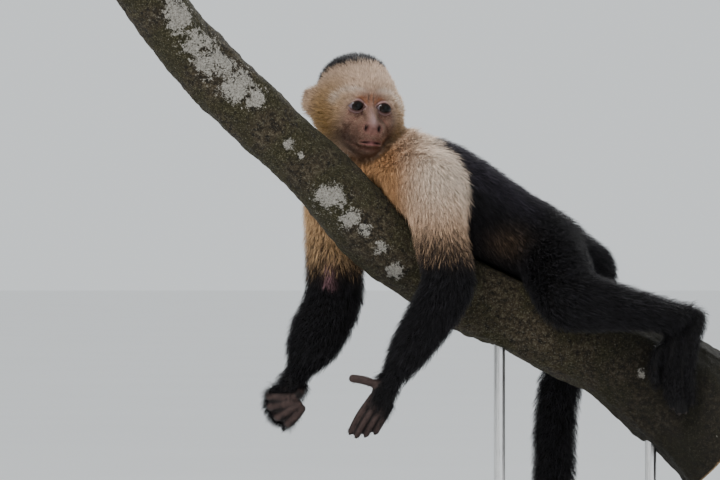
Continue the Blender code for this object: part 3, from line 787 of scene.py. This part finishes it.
def markings(points, owners):
    """The coat's colour where it is pale, and how far it is black, from 0 to 1."""
    x, _, z = points.T
    head = in_head(points)
    on_head = within(owners, "head", "ear")
    ragged = grain(points, 9, 1) * 5 + grain(points, 4, 2) * 3
    black = ease(-9, 9, x + 13 + 0.8 * np.maximum(z - 440, 0) + ragged)
    black[on_head] = cap_share(head)[on_head]
    for side, (low, high) in SLEEVES.items():
        arm = within(owners, f"upper_arm_{side}", f"forearm_{side}", f"hand_{side}")
        black[arm] = ease(high, low, z + ragged)[arm]
    black[within(owners, "pelvis", "thigh", "shank", "foot", "tail")] = 1

    pale = mix(TAN, CREAM, ease(370, 402, z))
    # painted highlight on the top of the shoulders
    pale = mix(pale, SHOULDER_HIGHLIGHT, ease(384, 436, z) * ease(-78, -32, x))
    # painted light on the far arm, lighter to make up for the branch's shade on it
    pale = mix(pale, FAR_ARM_PAINTED_LIGHT, within(owners, "upper_arm_right") * 0.75)
    front = spot(points, (-84, -30, 428), (28, 46, 44))
    pale = mix(pale, ORANGE, np.clip(front * 1.3, 0, 0.78))
    cheek = spot(folded(head), (28, 9, -7), (14, 20, 26))
    throat = ease(-30, -42, head[:, 2]) * on_head
    on_pale_head = mix(mix(CREAM_LIGHT, TAN, 0.55), GOLD, np.clip(cheek * 1.25, 0, 0.92))
    on_pale_head = mix(on_pale_head, ORANGE, throat * 0.6)
    on_pale_head = mix(on_pale_head, PALE, brow_arc(head))
    pale[on_head] = on_pale_head[on_head]
    return pale, black


def dark_tips(points, owners):
    """The tips of the black hairs: a cool painted sheen along the top of the back, brown low on the flank,
    pinkish at one elbow.
    """
    x, _, z = points.T
    rough = grain(points, 6, 14) * 0.35
    # painted sheen: lighter tips along the top of the back, where the light falls
    top = ease(-12, 6, z - (432 - 0.62 * x)) * ease(80, 30, x) * within(owners, "chest", "abdomen", "pelvis")
    tips = mix(BLACK_TIP, SHEEN_TIP, np.clip(top * (0.8 + rough), 0, 1))
    flank = spot(points, (30, -20, 380), (17, 34, 12))
    tips = mix(tips, FLANK_BROWN, np.clip(flank * (1.1 + rough), 0, 1))
    elbow = spot(points, (-123, 8, 337), (4.0, 30, 22)) * within(owners, "upper_arm_right")
    return mix(tips, ELBOW_SKIN, np.clip(elbow * (1.2 + rough), 0, 1))


def brow_arc(head):
    """The share of pale hair, along an arc above each eye."""
    x, y, z = head.T
    away = np.hypot((np.abs(x) - 12.5) / 1.25, z - 3)
    return 0.6 * bell(away, 13.6, 1.7) * ease(0, 7, z) * (y > 12)


def painted_crease_shade(points):
    """Painted shade: 1 in the creases between fingers that lie side by side, and 0 along the middle of each.
    """
    place = palm_matrix()
    lines = [([place @ Vector(at) for at in line], FINGER_RADIUS) for line in OPEN_FINGERS]
    lines += [(line, CLOSED_FINGER_RADIUS) for line in FIST_FINGERS]
    off = np.full(len(points), 9.0)
    for line, radius in lines:
        for start, end in zip(np.array(line[:-1], float), np.array(line[1:], float)):
            way = end - start
            along = np.clip((points - start) @ way / (way @ way), 0, 1)
            side = points - start - along[:, None] * way
            off = np.minimum(off, np.hypot(side[:, 0], side[:, 2]) / radius)
    return ease(0.5, 0.95, off) * ease(2.6, 1.8, off)


FACE_TINTS = [  # colour, centre and radii in the head's frame, strength, and whether on both sides
    (FACE_RED, (6, 0, -15), (4.5, ANY, 5.5), 0.87, True),  # nose
    (BROW_RED, (0, 0, 12), (5, ANY, 7), 0.6, False),  # frown
    (mix(FACE_RED, FACE, 0.25), (0, 0, -24), (16, ANY, 11), 0.85, False),  # muzzle
    (DARK, (2.3, 0, 11), (0.9, ANY, 6), 0.6, True),  # frown folds
    (MAUVE, (0, 0, -4), (4.5, ANY, 8), 0.45, False),  # bridge of the nose
]
LID_TINTS = [  # colour, place and width in lid_ring, and strength
    (MAUVE, 1.5, 0.2, 0.35),
    (DARK, 1.06, 0.24, 0.92),
    (DARK, 1.9, 0.16, 0.35),
]


def skin_colours(points, owners, face, hands):
    """The skin's colour: the face's own tones, dark hands and feet, and the coat's shade under the coat."""
    head = in_head(points)
    pale, black = markings(points, owners)
    blotch = grain(points, 5, 5) * 0.5 + grain(points, 2, 6) * 0.5
    tone = mix(FACE, np.array(FACE) * 0.7, 0.5 + 0.5 * blotch)
    around = eye_away(head, 1.25)
    tone = mix(tone, FACE_RED, ease(12.5, 7.5, around) * 0.5)
    tone = mix(tone, BROW_RED, bell(around, 8.8, 2.4) * ease(2, 5, head[:, 2]) * 0.7)
    for colour, centre, radii, strength, paired in FACE_TINTS:
        tone = mix(tone, colour, spot(folded(head) if paired else head, centre, radii) * strength)
    for colour, centre, width, strength in LID_TINTS:
        tone = mix(tone, colour, bell(lid_ring(head), centre, width) * strength)
    gap, upper, lower = lips_at(head)
    lower_lip = lower * (0.35 + 0.65 * bell(head[:, 0], 0, 6.5))
    tone = mix(tone, LIP, np.clip(upper * 0.35 + lower_lip, 0, 1) * 0.75)
    tongue = bell(head[:, 0], 0, 3.6) * 0.7
    tone = mix(tone, mix(DARK, LIP, tongue), np.clip(gap * 1.3, 0, 0.96))
    nostril = spot(folded(head), (6.2, 0, -14.8), (1.35, ANY, 2.6))
    tone = mix(tone, DARK, np.clip(nostril * 1.5, 0, 0.95))
    colours = mix(mix(pale * UNDER_COAT, BLACK, black), tone, face)
    colours[within(owners, "ear")] = mix(np.array(FACE) * 0.8, FACE_RED, 0.3)
    bare = mix(mix(HAND, FOOT, within(owners, "foot")), BLACK, 0.3 + 0.3 * blotch)
    # painted shade darkens the creases between the fingers
    bare = mix(bare, BLACK, painted_crease_shade(points) * hands * 0.85)
    return mix(colours, bare, hands)


# ================================================================ coat


LIE_REACH, LIE_STEP = 26, 14  # how widely the lines of neighbouring limbs blend, and their steps
LIE_BATCH = 20000  # points at a time, to spare memory
LIE_ROUNDS, NORMAL_ROUNDS = 90, 7  # of smoothing


def lie_of(points, owners):
    """The way the hairs lie: along the limb or body near each point, and back from the nose on the head."""
    spans, middles = [], []
    for line in LIE.values():
        for start, end in zip(np.array(line[:-1], float), np.array(line[1:], float)):
            steps = max(1, int(np.linalg.norm(end - start) / LIE_STEP))
            for step in range(steps):
                middles.append(start + (end - start) * (step + 0.5) / steps)
                spans.append(unit(end - start))
    spans, middles = np.array(spans), np.array(middles)
    way = np.zeros_like(points)
    for first in range(0, len(points), LIE_BATCH):
        part = points[first : first + LIE_BATCH]
        away = np.linalg.norm(part[:, None] - middles[None], axis=2)
        nearest = away.min(axis=1, keepdims=True)
        weight = np.exp(-(((away - nearest) / LIE_REACH) ** 2))
        way[first : first + LIE_BATCH] = unit((weight[..., None] * spans[None]).sum(axis=1))
    way[within(owners, "chest", "abdomen", "pelvis", "neck")] += (0, 0, -0.35)
    on_head = within(owners, "head", "ear")
    head = in_head(points[on_head])
    away = unit(head - np.array((0, 46, -8)))
    behind = ease(-5, -45, head[:, 1])[:, None]
    away = away + behind * np.array((0, -0.2, -1.3))
    way[on_head] = unit(away) @ np.array(TO_WORLD)[:3, :3].T
    return way


def make_ground(skin, find):
    """Colours the skin, and gives all that the coat needs to know of it, per point and per triangle."""
    mesh = skin.data
    mesh.calc_loop_triangles()
    corners = read(mesh.loop_triangles, "vertices", np.int32, 3)
    points = points_of(mesh)
    owners, fields, face = coat_fields(mesh, points, find, COARSE_SPACING)
    hands = hand_share(points, owners)
    way = relax(lie_of(points, owners), edges_of(mesh), LIE_ROUNDS)
    pale, black = markings(points, owners)
    set_colours(mesh, "marking", skin_colours(points, owners, face, hands))
    set_values(mesh, "bare", np.maximum(face, hands))
    a, b, c = (points[corners[:, k]] for k in range(3))
    area = np.linalg.norm(np.cross(b - a, c - a), axis=1) / 2
    return {
        "points": points,
        "normals": unit(relax(normals_of(mesh), edges_of(mesh), NORMAL_ROUNDS)),
        "corners": corners,
        "area": area,
        "owners": owners,
        "length": fields[:, 1],
        "lift": fields[:, 2],
        "face": face,
        "bald": bald_share(in_head(points)) * face,
        "hands": hands,
        "way": way,
        "pale": pale,
        "black": black,
        "dark_tip": dark_tips(points, owners),
    }


def unwrapped(ground, chosen):
    """Places on a flat unwrap of the chosen triangles, one for each of their corners."""
    used, inverse = np.unique(ground["corners"][chosen], return_inverse=True)
    mesh = bpy.data.meshes.new("patch")
    mesh.from_pydata((ground["points"][used] * MM).tolist(), [], inverse.reshape(-1, 3).tolist())
    patch = add_object("patch", mesh)
    mesh.uv_layers.new(name="unwrap")
    bpy.ops.object.select_all(action="DESELECT")
    patch.select_set(True)
    bpy.context.view_layer.objects.active = patch
    bpy.ops.object.mode_set(mode="EDIT")
    bpy.ops.mesh.select_all(action="SELECT")
    bpy.ops.uv.smart_project(angle_limit=math.radians(66), island_margin=0.004)
    bpy.ops.object.mode_set(mode="OBJECT")
    flat = read(mesh.uv_layers[0].data, "uv", np.float32, 2)
    bpy.data.objects.remove(patch, do_unlink=True)
    bpy.data.meshes.remove(mesh)
    return flat.reshape(-1, 3, 2)


def turned(vectors, axes, angles):
    """The vectors turned about their axes."""
    cos, sin = np.cos(angles)[:, None], np.sin(angles)[:, None]
    along = (vectors * axes).sum(axis=1, keepdims=True)
    return vectors * cos + np.cross(axes, vectors) * sin + axes * along * (1 - cos)


PATCH = 0.003  # how much of the unwrap one tuft has
BARE_THINNING = 0.93  # how many hairs the bare hands and feet lose
THINNEST, THICKEST, HAND_HAIR = 0.28, 0.7, 0.35  # widths of a tuft
FULL_BEND, TIP_BEND = 1.45, 0.55  # a tuft's lift at its root and near its tip, against its own
ROOT_DEPTH, STEEPEST = 0.5, 1.45  # millimetres, and the steepest rise in radians
LOWER_LENGTH, MIDDLE_WIDTH, THICKNESS = 0.45, 0.85, 0.9  # shares of the tuft's length and width


def tuft_shapes(roots, normal, way, length, lift, width, bent):
    """Corners of closed tapering tufts: three at the root, three half-way if bent, and one at the tip."""
    tangent = unit(way - normal * (way * normal).sum(axis=1, keepdims=True))
    side = np.cross(normal, tangent)
    rise = np.radians(np.clip(lift, 4, 85))

    def direction(factor):
        angle = np.clip(rise * factor, 0, STEEPEST)[:, None]
        return tangent * np.cos(angle) + normal * np.sin(angle)

    start = roots - normal * ROOT_DEPTH
    first, second = direction(FULL_BEND if bent else 1.0), direction(TIP_BEND if bent else 1.0)
    middle = start + first * length[:, None] * LOWER_LENGTH
    tip = middle + second * length[:, None] * (1 - LOWER_LENGTH)
    rows = [(start, 1.0)] + ([(middle, MIDDLE_WIDTH)] if bent else [])
    corners = []
    for centre, size in rows:
        wide = side * (width * size / 2)[:, None]
        thick = normal * (width * size * THICKNESS / 2)[:, None]
        corners += [centre + wide, centre - wide, centre + thick]
    return np.stack(corners + [tip], axis=1)


BENT_FACES = ((0, 1, 4, 3), (1, 2, 5, 4), (2, 0, 3, 5), (3, 4, 6), (4, 5, 6), (5, 3, 6), (2, 1, 0))
STRAIGHT_FACES = ((0, 1, 3), (1, 2, 3), (2, 0, 3), (2, 1, 0))


def tuft_mesh(name, corners, faces, colours, places):
    """One mesh of many like tufts. colours and places are given per corner of a tuft."""
    count, per = corners.shape[:2]
    sizes = np.array([len(face) for face in faces])
    pattern = np.concatenate([np.array(face) for face in faces])
    loops = (np.arange(count)[:, None] * per + pattern[None]).ravel()
    starts = np.concatenate(([0], np.cumsum(np.tile(sizes, count))[:-1]))
    mesh = bpy.data.meshes.new(name)
    mesh.vertices.add(count * per)
    mesh.vertices.foreach_set("co", (corners * MM).astype(np.float32).ravel())
    mesh.loops.add(len(loops))
    mesh.loops.foreach_set("vertex_index", loops.astype(np.int32))
    mesh.polygons.add(len(starts))
    mesh.polygons.foreach_set("loop_start", starts.astype(np.int32))
    mesh.update(calc_edges=True)
    set_colours(mesh, "coat", colours.reshape(-1, 3))
    layer = mesh.uv_layers.new(name="OFBake")
    layer.data.foreach_set("uv", places.reshape(-1, 2)[loops].astype(np.float32).ravel())
    return mesh


def tuft_colours(black, pale, dark_tip, rows, face, rng):
    """A colour for each row of each tuft, darker at the root. Where black and pale meet, they mingle."""
    count = len(black)
    share = np.clip((black - 0.5) * 1.1 + 0.5, 0, 1)
    dark = (rng.random(count) < share).astype(float)
    dark = mix(dark[:, None], black[:, None], 0.25)[:, 0]
    shade = rng.normal(1, 0.18, count)[:, None]
    glint = dark_tip * rng.choice((0.8, 2.4), count, p=(0.7, 0.3))[:, None]
    tip = mix(pale * 1.2, glint, dark) * shade
    root = mix(pale * UNDER_COAT, BLACK, dark) * shade
    fine = mix(FACE_HAIR, FACE, rng.random(count) * 0.9) * shade
    tip = mix(tip, fine * 1.1, face)
    root = mix(root, fine * 0.75, face)
    return np.stack([mix(root, tip, np.full(count, t)) for t in rows], axis=1)


def grow(name, ground, begins, counts, rng):
    """A piece of coat on the skin near the solids whose names begin so. coat_face has only fine hairs."""
    chosen = np.flatnonzero(within(ground["owners"][ground["corners"][:, 0]], *begins.split()))
    flat = unwrapped(ground, chosen)
    corners = ground["corners"][chosen]
    fine = ground["face"][corners].mean(axis=1)
    bare = ground["hands"][corners].mean(axis=1)
    bald = ground["bald"][corners].mean(axis=1)
    likely = ground["area"][chosen] * (1 - BARE_THINNING * bare)
    likely *= ease(0.05, 0.6, fine) * (1 - bald) if name == "coat_face" else ease(0.95, 0.35, fine)
    likely /= likely.sum()
    bm = bmesh.new()
    for bent, amount in zip((True, False), counts):
        if not amount:
            continue
        triangle = rng.choice(len(chosen), amount, p=likely)
        u, v = rng.random(amount), rng.random(amount)
        flip = u + v > 1
        u, v = np.where(flip, 1 - u, u), np.where(flip, 1 - v, v)
        weights = np.stack((1 - u - v, u, v), axis=1)

        def at(field):
            values = ground[field][corners[triangle]]
            return np.einsum("nk,nk...->n...", weights, values)

        roots, face, hands = at("points"), at("face"), at("hands")
        lock = grain(roots, 7, 3), grain(roots, 7, 4)
        normal = unit(at("normals"))
        way = turned(unit(at("way")), normal, lock[0] * 0.2 + rng.normal(0, 0.17, amount))
        length = at("length") * rng.uniform(0.72, 1.12, amount) * (1.0 if bent else 0.88)
        lift = at("lift") + lock[1] * 5 + rng.normal(0, 6, amount) - (0 if bent else 4)
        width = np.clip(length * (0.05 if bent else 0.044), THINNEST, THICKEST)
        width = np.where(hands > 0.5, HAND_HAIR, width)
        shapes = tuft_shapes(roots, normal, way, length, lift, width, bent)
        rows = [0] * 3 + [LOWER_LENGTH] * 3 * bent + [1]
        colours = tuft_colours(at("black"), at("pale"), at("dark_tip"), rows, face, rng)
        place = np.einsum("nk,nkc->nc", weights, flat[triangle])
        offsets = [(across, up) for up in (0, 0.5)[: 1 + bent] for across in (0, 1, 0.5)] + [(0.5, 1)]
        places = np.clip(place[:, None] + (np.array(offsets) - 0.5) * PATCH, 0, 1)
        part = tuft_mesh(name, shapes, BENT_FACES if bent else STRAIGHT_FACES, colours, places)
        bm.from_mesh(part)
        bpy.data.meshes.remove(part)
    mesh = bpy.data.meshes.new(name)
    bm.to_mesh(mesh)
    bm.free()
    mesh.shade_smooth()
    return add_object(name, mesh)


# ================================================================ materials


class Finish:
    """A material with a Principled shader, and short ways to add nodes to it."""

    def __init__(self, name, **values):
        self.material = bpy.data.materials.new(name)
        self.material.use_nodes = True
        self.tree = self.material.node_tree
        self.shader = self.tree.nodes["Principled BSDF"]
        for key, value in values.items():
            socket = key.replace("_", " ").title().replace("Ior", "IOR")
            self.shader.inputs[socket].default_value = value

    def node(self, kind, links=(), **settings):
        made = self.tree.nodes.new("ShaderNode" + kind)
        for key, value in settings.items():
            setattr(made, key, value)
        for socket, source in dict(links).items():
            if isinstance(source, bpy.types.NodeSocket):
                self.tree.links.new(source, made.inputs[socket])
            else:
                made.inputs[socket].default_value = source
        return made

    def place(self):
        return self.node("TexCoord").outputs["Object"]

    def noise(self, scale, detail=3.0, roughness=0.55, stretch=None):
        vector = self.place()
        if stretch:
            vector = self.node("Mapping", {"Vector": vector, "Scale": stretch}).outputs[0]
        links = {"Vector": vector, "Scale": scale, "Detail": detail, "Roughness": roughness}
        return self.node("TexNoise", links).outputs["Fac"]

    def ramp(self, factor, *stops):
        made = self.node("ValToRGB", {"Fac": factor})
        ramp = made.color_ramp
        while len(ramp.elements) < len(stops):
            ramp.elements.new(1.0)
        for element, (position, colour) in zip(ramp.elements, stops):
            element.position = position
            element.color = (*colour, 1) if len(colour) == 3 else colour
        return made.outputs["Color"]

    def fade(self, factor, low, high, dark=0.0, light=1.0):
        """From a dark grey where the factor is low to a light one where it is high."""
        return self.ramp(factor, (low, (dark,) * 3), (high, (light,) * 3))

    def blend(self, factor, a, b, how="MIX"):
        made = self.node("Mix", data_type="RGBA", blend_type=how)
        for socket, source in ((made.inputs[0], factor), (made.inputs[6], a), (made.inputs[7], b)):
            if isinstance(source, bpy.types.NodeSocket):
                self.tree.links.new(source, socket)
            else:
                socket.default_value = (*source, 1) if isinstance(source, tuple) else source
        return made.outputs[2]

    def attribute(self, name, output="Fac"):
        return self.node("Attribute", attribute_name=name).outputs[output]

    def sum(self, a, b, how="ADD"):
        return self.node("Math", {0: a, 1: b}, operation=how).outputs[0]

    def times(self, a, b):
        return self.sum(a, b, "MULTIPLY")

    def colour(self, source):
        self.tree.links.new(source, self.shader.inputs["Base Color"])

    def roughness(self, source):
        self.tree.links.new(source, self.shader.inputs["Roughness"])

    def bump(self, height, distance, strength=1.0):
        made = self.node("Bump", {"Height": height, "Distance": distance, "Strength": strength})
        self.tree.links.new(made.outputs[0], self.shader.inputs["Normal"])





def fur_finish():
    made = Finish("fur", roughness=0.55, specular_ior_level=0.12)
    streak = made.fade(made.noise(260, 2.0), 0.3, 0.7, 0.82, 1.12)
    made.colour(made.blend(1.0, made.attribute("coat", "Color"), streak, "MULTIPLY"))
    return made.material


def skin_finish():
    made = Finish("skin", roughness=0.5, specular_ior_level=0.12)
    fine = made.noise(900, 4.0, 0.6)
    mottle = made.fade(fine, 0.25, 0.75, 0.8, 1.15)
    made.colour(made.blend(1.0, made.attribute("marking", "Color"), mottle, "MULTIPLY"))
    cells = made.node("TexVoronoi", {"Vector": made.place(), "Scale": 1100.0}, feature="DISTANCE_TO_EDGE")
    creases = made.fade(cells.outputs["Distance"], 0.0, 0.12)
    made.bump(made.sum(made.times(creases, 0.4), fine), 0.00022)
    made.roughness(made.fade(fine, 0.3, 0.7, 0.42, 0.6))
    return made.material


def eye_finish():
    made = Finish("eye", roughness=0.08, specular_ior_level=0.12)
    spokes = made.noise(1500, 2.0)
    part = made.sum(made.attribute("off_gaze"), made.times(spokes, 0.03))
    iris, pupil = IRIS_ANGLE / RIGHT_ANGLE, PUPIL_ANGLE / RIGHT_ANGLE
    stops = [
        (0.0, (0.001, 0.001, 0.001)),
        (pupil, (0.002, 0.0015, 0.001)),
        (pupil + 0.03, (0.005, 0.0028, 0.002)),
        (iris - 0.07, (0.008, 0.004, 0.0028)),
        (iris, (0.004, 0.003, 0.003)),
        (iris + 0.06, (0.095, 0.078, 0.088)),
        (0.8, (0.12, 0.088, 0.096)),
    ]
    made.colour(made.ramp(part, *stops))
    return made.material


def nail_finish():
    made = Finish("nail", roughness=0.6, specular_ior_level=0.15)
    dark, light = (0.009, 0.007, 0.0065), (0.022, 0.017, 0.015)
    made.colour(made.ramp(made.noise(600, 2.0), (0.3, dark), (0.75, light)))
    return made.material


def bark_finish():
    made = Finish("bark", roughness=0.88, specular_ior_level=0.2)
    coarse = made.noise(30, 5.0)
    middle = made.noise(240, 5.0, 0.75)
    fine = made.noise(700, 3.0, 0.75)
    ground = made.ramp(
        middle,
        (0.34, (0.003, 0.0022, 0.0014)),
        (0.45, (0.015, 0.011, 0.006)),
        (0.55, (0.038, 0.029, 0.016)),
        (0.66, (0.105, 0.088, 0.060)),
    )
    moss = made.fade(made.sum(coarse, made.times(middle, 0.35)), 0.60, 0.74)
    mossy = made.ramp(fine, (0.35, (0.005, 0.005, 0.0015)), (0.65, (0.036, 0.033, 0.010)))
    ground = made.blend(made.times(moss, 0.7), ground, mossy)
    speck = made.fade(fine, 0.57, 0.65)
    ground = made.blend(made.times(speck, 0.42), ground, (0.20, 0.19, 0.14))
    # painted shade: the bark darkens towards the branch's butt end
    ground = made.blend(made.times(made.attribute("painted_shade"), 0.72), ground, (0.0045, 0.004, 0.003))
    broken = made.sum(made.sum(middle, 0.5, "SUBTRACT"), made.times(made.sum(fine, 0.5, "SUBTRACT"), 0.5))
    edge = made.sum(made.attribute("lichen"), made.times(broken, 1.3))
    pale = made.ramp(fine, (0.32, (0.085, 0.077, 0.062)), (0.60, (0.29, 0.278, 0.25)))
    ground = made.blend(made.fade(edge, 0.44, 0.56), ground, pale)
    rings = made.sum(made.attribute("ring"), made.times(middle, 2.0))
    waves = made.node("Math", {0: rings}, operation="SINE").outputs[0]
    wood = made.ramp(waves, (0.0, (0.30, 0.20, 0.11)), (1.0, (0.46, 0.33, 0.20)))
    made.colour(made.blend(made.attribute("sawn"), ground, wood))
    made.bump(made.sum(middle, made.times(fine, 0.7)), 0.003)
    return made.material


def paint_finish():
    made = Finish("stand_paint", roughness=0.4, coat_weight=0.25)
    dark, light = (0.030, 0.028, 0.029), (0.042, 0.040, 0.040)
    made.colour(made.ramp(made.noise(38, 3.0), (0.3, dark), (0.7, light)))
    made.roughness(made.fade(made.noise(160, 4.0), 0.3, 0.7, 0.34, 0.5))
    made.bump(made.noise(900, 2.0), 0.00005)
    return made.material


def steel_finish():
    made = Finish("rod_steel", metallic=1.0, roughness=0.3)
    lines = made.noise(60, 3.0, 0.6, stretch=(30, 30, 1))
    made.colour(made.fade(lines, 0.3, 0.7, 0.48, 0.62))
    made.roughness(made.fade(lines, 0.3, 0.7, 0.24, 0.38))
    made.bump(lines, 0.00004)
    return made.material


# ================================================================ eyes, nails and perch


def make_eye(name, side, finish):
    x, y, z = EYE_SPOT
    gaze = Vector(GAZE).normalized()
    turn = gaze.to_track_quat("Z", "Y").to_matrix().to_4x4()
    place = TO_WORLD @ Matrix.Translation((side * x, y, z)) @ turn
    bm = bmesh.new()
    bmesh.ops.create_uvsphere(bm, u_segments=48, v_segments=48, radius=EYE_RADIUS)
    angles = [math.degrees(vertex.co.angle(Vector((0, 0, 1)))) / RIGHT_ANGLE for vertex in bm.verts]
    for vertex, angle in zip(bm.verts, angles):
        vertex.co *= 1 + CORNEA_BULGE * float(ease(IRIS_ANGLE / RIGHT_ANGLE + 0.12, 0.0, angle))
    bmesh.ops.transform(bm, matrix=place, verts=bm.verts)
    eye = from_bmesh(f"eyeball_{name}", bm)
    set_values(eye.data, "off_gaze", angles)
    eye.data.shade_smooth()
    return finished(eye, finish, "eye_brown", f"eye_{name}")


NAIL_RADII, NAIL_ALONG, NAIL_UP = (0.62, 0.85, 0.26), 0.25, 0.62  # against the digit's own radius


def add_nail(bm, before, tip, up, radius):
    """A small curved plate on the back of a fingertip."""
    before, tip, up = Vector(before), Vector(tip), Vector(up)
    along = (tip - before).normalized()
    up = (up - along * along.dot(up)).normalized()
    turn = Matrix((along.cross(up) * -1, along, up)).transposed().to_4x4()
    at = tip + (along * NAIL_ALONG + up * NAIL_UP) * radius
    ball(bm, at, [radius * share for share in NAIL_RADII], turn, NAIL_BALL)


def make_nails(finish):
    bm = bmesh.new()
    place = palm_matrix()
    back = place.to_3x3() @ Vector((0, 0, 1))
    for points in (*OPEN_FINGERS, OPEN_THUMB):
        add_nail(bm, place @ Vector(points[-2]), place @ Vector(points[-1]), back, FINGER_RADIUS * 0.84)
    for side, sign in SIDES.items():
        for points in (*TOES, BIG_TOE):
            before, tip = (on_side(at, side) for at in points[-2:])
            add_nail(bm, before, tip, (0, -sign, 0.15), TOE_RADIUS * 0.84)
    for points in FIST_FINGERS:
        add_nail(bm, points[-2], points[-1], (0, -1, 0), FINGER_RADIUS * 0.8)
    nails = from_bmesh("nails", bm)
    nails.data.shade_smooth()
    return finished(nails, finish, "bare_skin")


BRANCH_ENDS = (((-299, -80, 618), (-251, -68, 553)), ((233, 28, 202), (194, 26, 236)))
LICHEN = [  # centre and radii of the pale crusts, the largest a long run down the upper branch
    ((-262, -96, 594), (18, 40, 20)),
    ((-254, -94, 572), (18, 40, 22)),
    ((-239, -90, 550), (20, 40, 20)),
    ((-222, -88, 531), (22, 38, 19)),
    ((-203, -82, 510), (23, 36, 19)),
    ((-188, -80, 500), (12, 30, 12)),
    ((-278, -70, 562), (9, 30, 12)),
    ((-121, -66, 414), (19, 28, 17)),
    ((-106, -62, 398), (12, 24, 11)),
    ((-92, -56, 386), (9, 22, 9)),
    ((-79, -48, 371), (10, 22, 12)),
    ((-66, -44, 352), (13, 22, 11)),
    ((-160, -72, 462), (8, 24, 6)),
    ((-148, -70, 452), (5, 24, 5)),
    ((-40, 30, 345), (20, 20, 16)),
    ((60, 46, 300), (24, 24, 20)),
    ((150, -20, 262), (8, 18, 8)),
    ((205, 70, 230), (26, 24, 24)),
    ((-150, 0, 460), (24, 16, 20)),
]
BARK_VOXEL, BARK_SMOOTHING = 1.9, 14  # rounds
BRANCH_END_REACH, RING_RATE = 90, 2.4


def make_bark(finish):
    """The branch as a finer mesh with the bark's relief. Its sawn ends stay flat and show rings."""
    bark = remeshed(from_bmesh("bark", solid_copy("perch_branch")), BARK_VOXEL)
    mesh = bark.data
    points = points_of(mesh)
    sawn = np.zeros(len(points))
    ring = np.zeros(len(points))
    for end, inner in BRANCH_ENDS:
        out = unit(np.array(end, float) - inner)
        away = points - end
        height = away @ out
        radius = np.linalg.norm(away - height[:, None] * out, axis=1)
        here = np.linalg.norm(away, axis=1) < BRANCH_END_REACH
        sawn[here] = ease(-1.6, -0.8, height)[here]
        ring[here] = radius[here] * RING_RATE
    points = relax(points, edges_of(mesh), BARK_SMOOTHING, 1 - sawn)
    move_points(mesh, points)
    rough = grain(points, 16, 7) * 0.9 + grain(points, 7, 8) * 0.7 + grain(points, 3.8, 9) * 0.55 - 0.8
    lichen = np.max([spot(points, centre, radii) for centre, radii in LICHEN], axis=0)
    lichen = np.clip(lichen * 0.72 + grain(points, 13, 10) * 0.2 + grain(points, 5, 15) * 0.14, 0, 1)
    rough += 0.35 * ease(0.42, 0.55, lichen)
    move_points(mesh, points + normals_of(mesh) * (rough * (1 - sawn))[:, None])
    set_values(mesh, "lichen", lichen)
    # painted shade, from none to full towards the butt end of the branch
    set_values(mesh, "painted_shade", ease(60, 190, points[:, 0]))
    set_values(mesh, "sawn", sawn)
    set_values(mesh, "ring", ring)
    mesh.shade_smooth()
    return finished(bark, finish, "bark", "perch_branch")


# ================================================================ studio

FRAME_WIDTH, VIEW_X, VIEW_Z = 0.6336, -0.0968, 0.3784  # what the view takes in, and its centre
CAMERA_DISTANCE, SENSOR = 6.0, 36.0
FLOOR_SIZE = 90.0


def area_light(name, at, towards, size, power, colour):
    light = bpy.data.lights.new(name, "AREA")
    light.shape = "DISK"
    light.size = size
    light.energy = power
    light.color = colour
    lamp = add_object(name, light)
    lamp.location = at
    lamp.rotation_euler = (Vector(towards) - Vector(at)).to_track_quat("-Z", "Y").to_euler()
    lamp.visible_camera = False


def make_studio():
    bm = bmesh.new()
    bmesh.ops.create_grid(bm, x_segments=1, y_segments=1, size=FLOOR_SIZE / 2 / MM)
    floor = from_bmesh("floor", bm)
    paper = Finish("paper", roughness=0.9)
    paper.colour(paper.fade(paper.noise(1.5), 0.3, 0.7, 0.86, 0.88))
    floor.data.materials.append(paper.material)
    world = bpy.data.worlds.new("studio")
    world.use_nodes = True
    sky = world.node_tree.nodes["Background"]
    sky.inputs["Color"].default_value = (0.80, 0.84, 0.86, 1)
    sky.inputs["Strength"].default_value = 1.05
    bpy.context.scene.world = world
    middle = (-0.05, 0, 0.4)
    area_light("key", (-1.0, -1.7, 2.2), middle, 1.2, 80, (1.0, 0.97, 0.93))
    area_light("fill", (1.8, -1.8, 0.9), middle, 1.8, 12, (0.92, 0.96, 1.0))
    area_light("rim", (0.9, 1.8, 1.9), middle, 1.2, 60, (1.0, 1.0, 1.0))
    camera = bpy.data.cameras.new("camera")
    camera.sensor_width = SENSOR
    camera.lens = SENSOR * CAMERA_DISTANCE / FRAME_WIDTH
    camera.clip_end = 200
    viewer = add_object("camera", camera)
    viewer.location = (VIEW_X, -CAMERA_DISTANCE, VIEW_Z)
    viewer.rotation_euler = (math.pi / 2, 0, 0)
    bpy.context.scene.camera = viewer


# ================================================================ the whole model


def make_coat(skin, find, finish):
    ground = make_ground(skin, find)
    for place, (name, (begins, *counts)) in enumerate(PIECES.items()):
        rng = np.random.default_rng(100 + place)
        coat = grow(name, ground, begins, counts, rng)
        slot = "fur_cream" if name in ("coat_face", "coat_head", "coat_shoulders") else "fur_black"
        finished(coat, finish, slot)


make_studio()
skin, find = make_skin()
skin.data.shade_smooth()
make_coat(skin, find, fur_finish())
finished(skin, skin_finish(), "bare_skin", *FLESH)
eye_material = eye_finish()
for eye_name, eye_side in SIDES.items():
    make_eye(eye_name, eye_side, eye_material)
make_nails(nail_finish())
make_bark(bark_finish())
steel = steel_finish()
stand = {"stand_base": paint_finish(), "stand_rod_front": steel, "stand_rod_rear": steel}
for node_name, material in stand.items():
    NODES[node_name].data.materials.clear()
    NODES[node_name].data.materials.append(material)
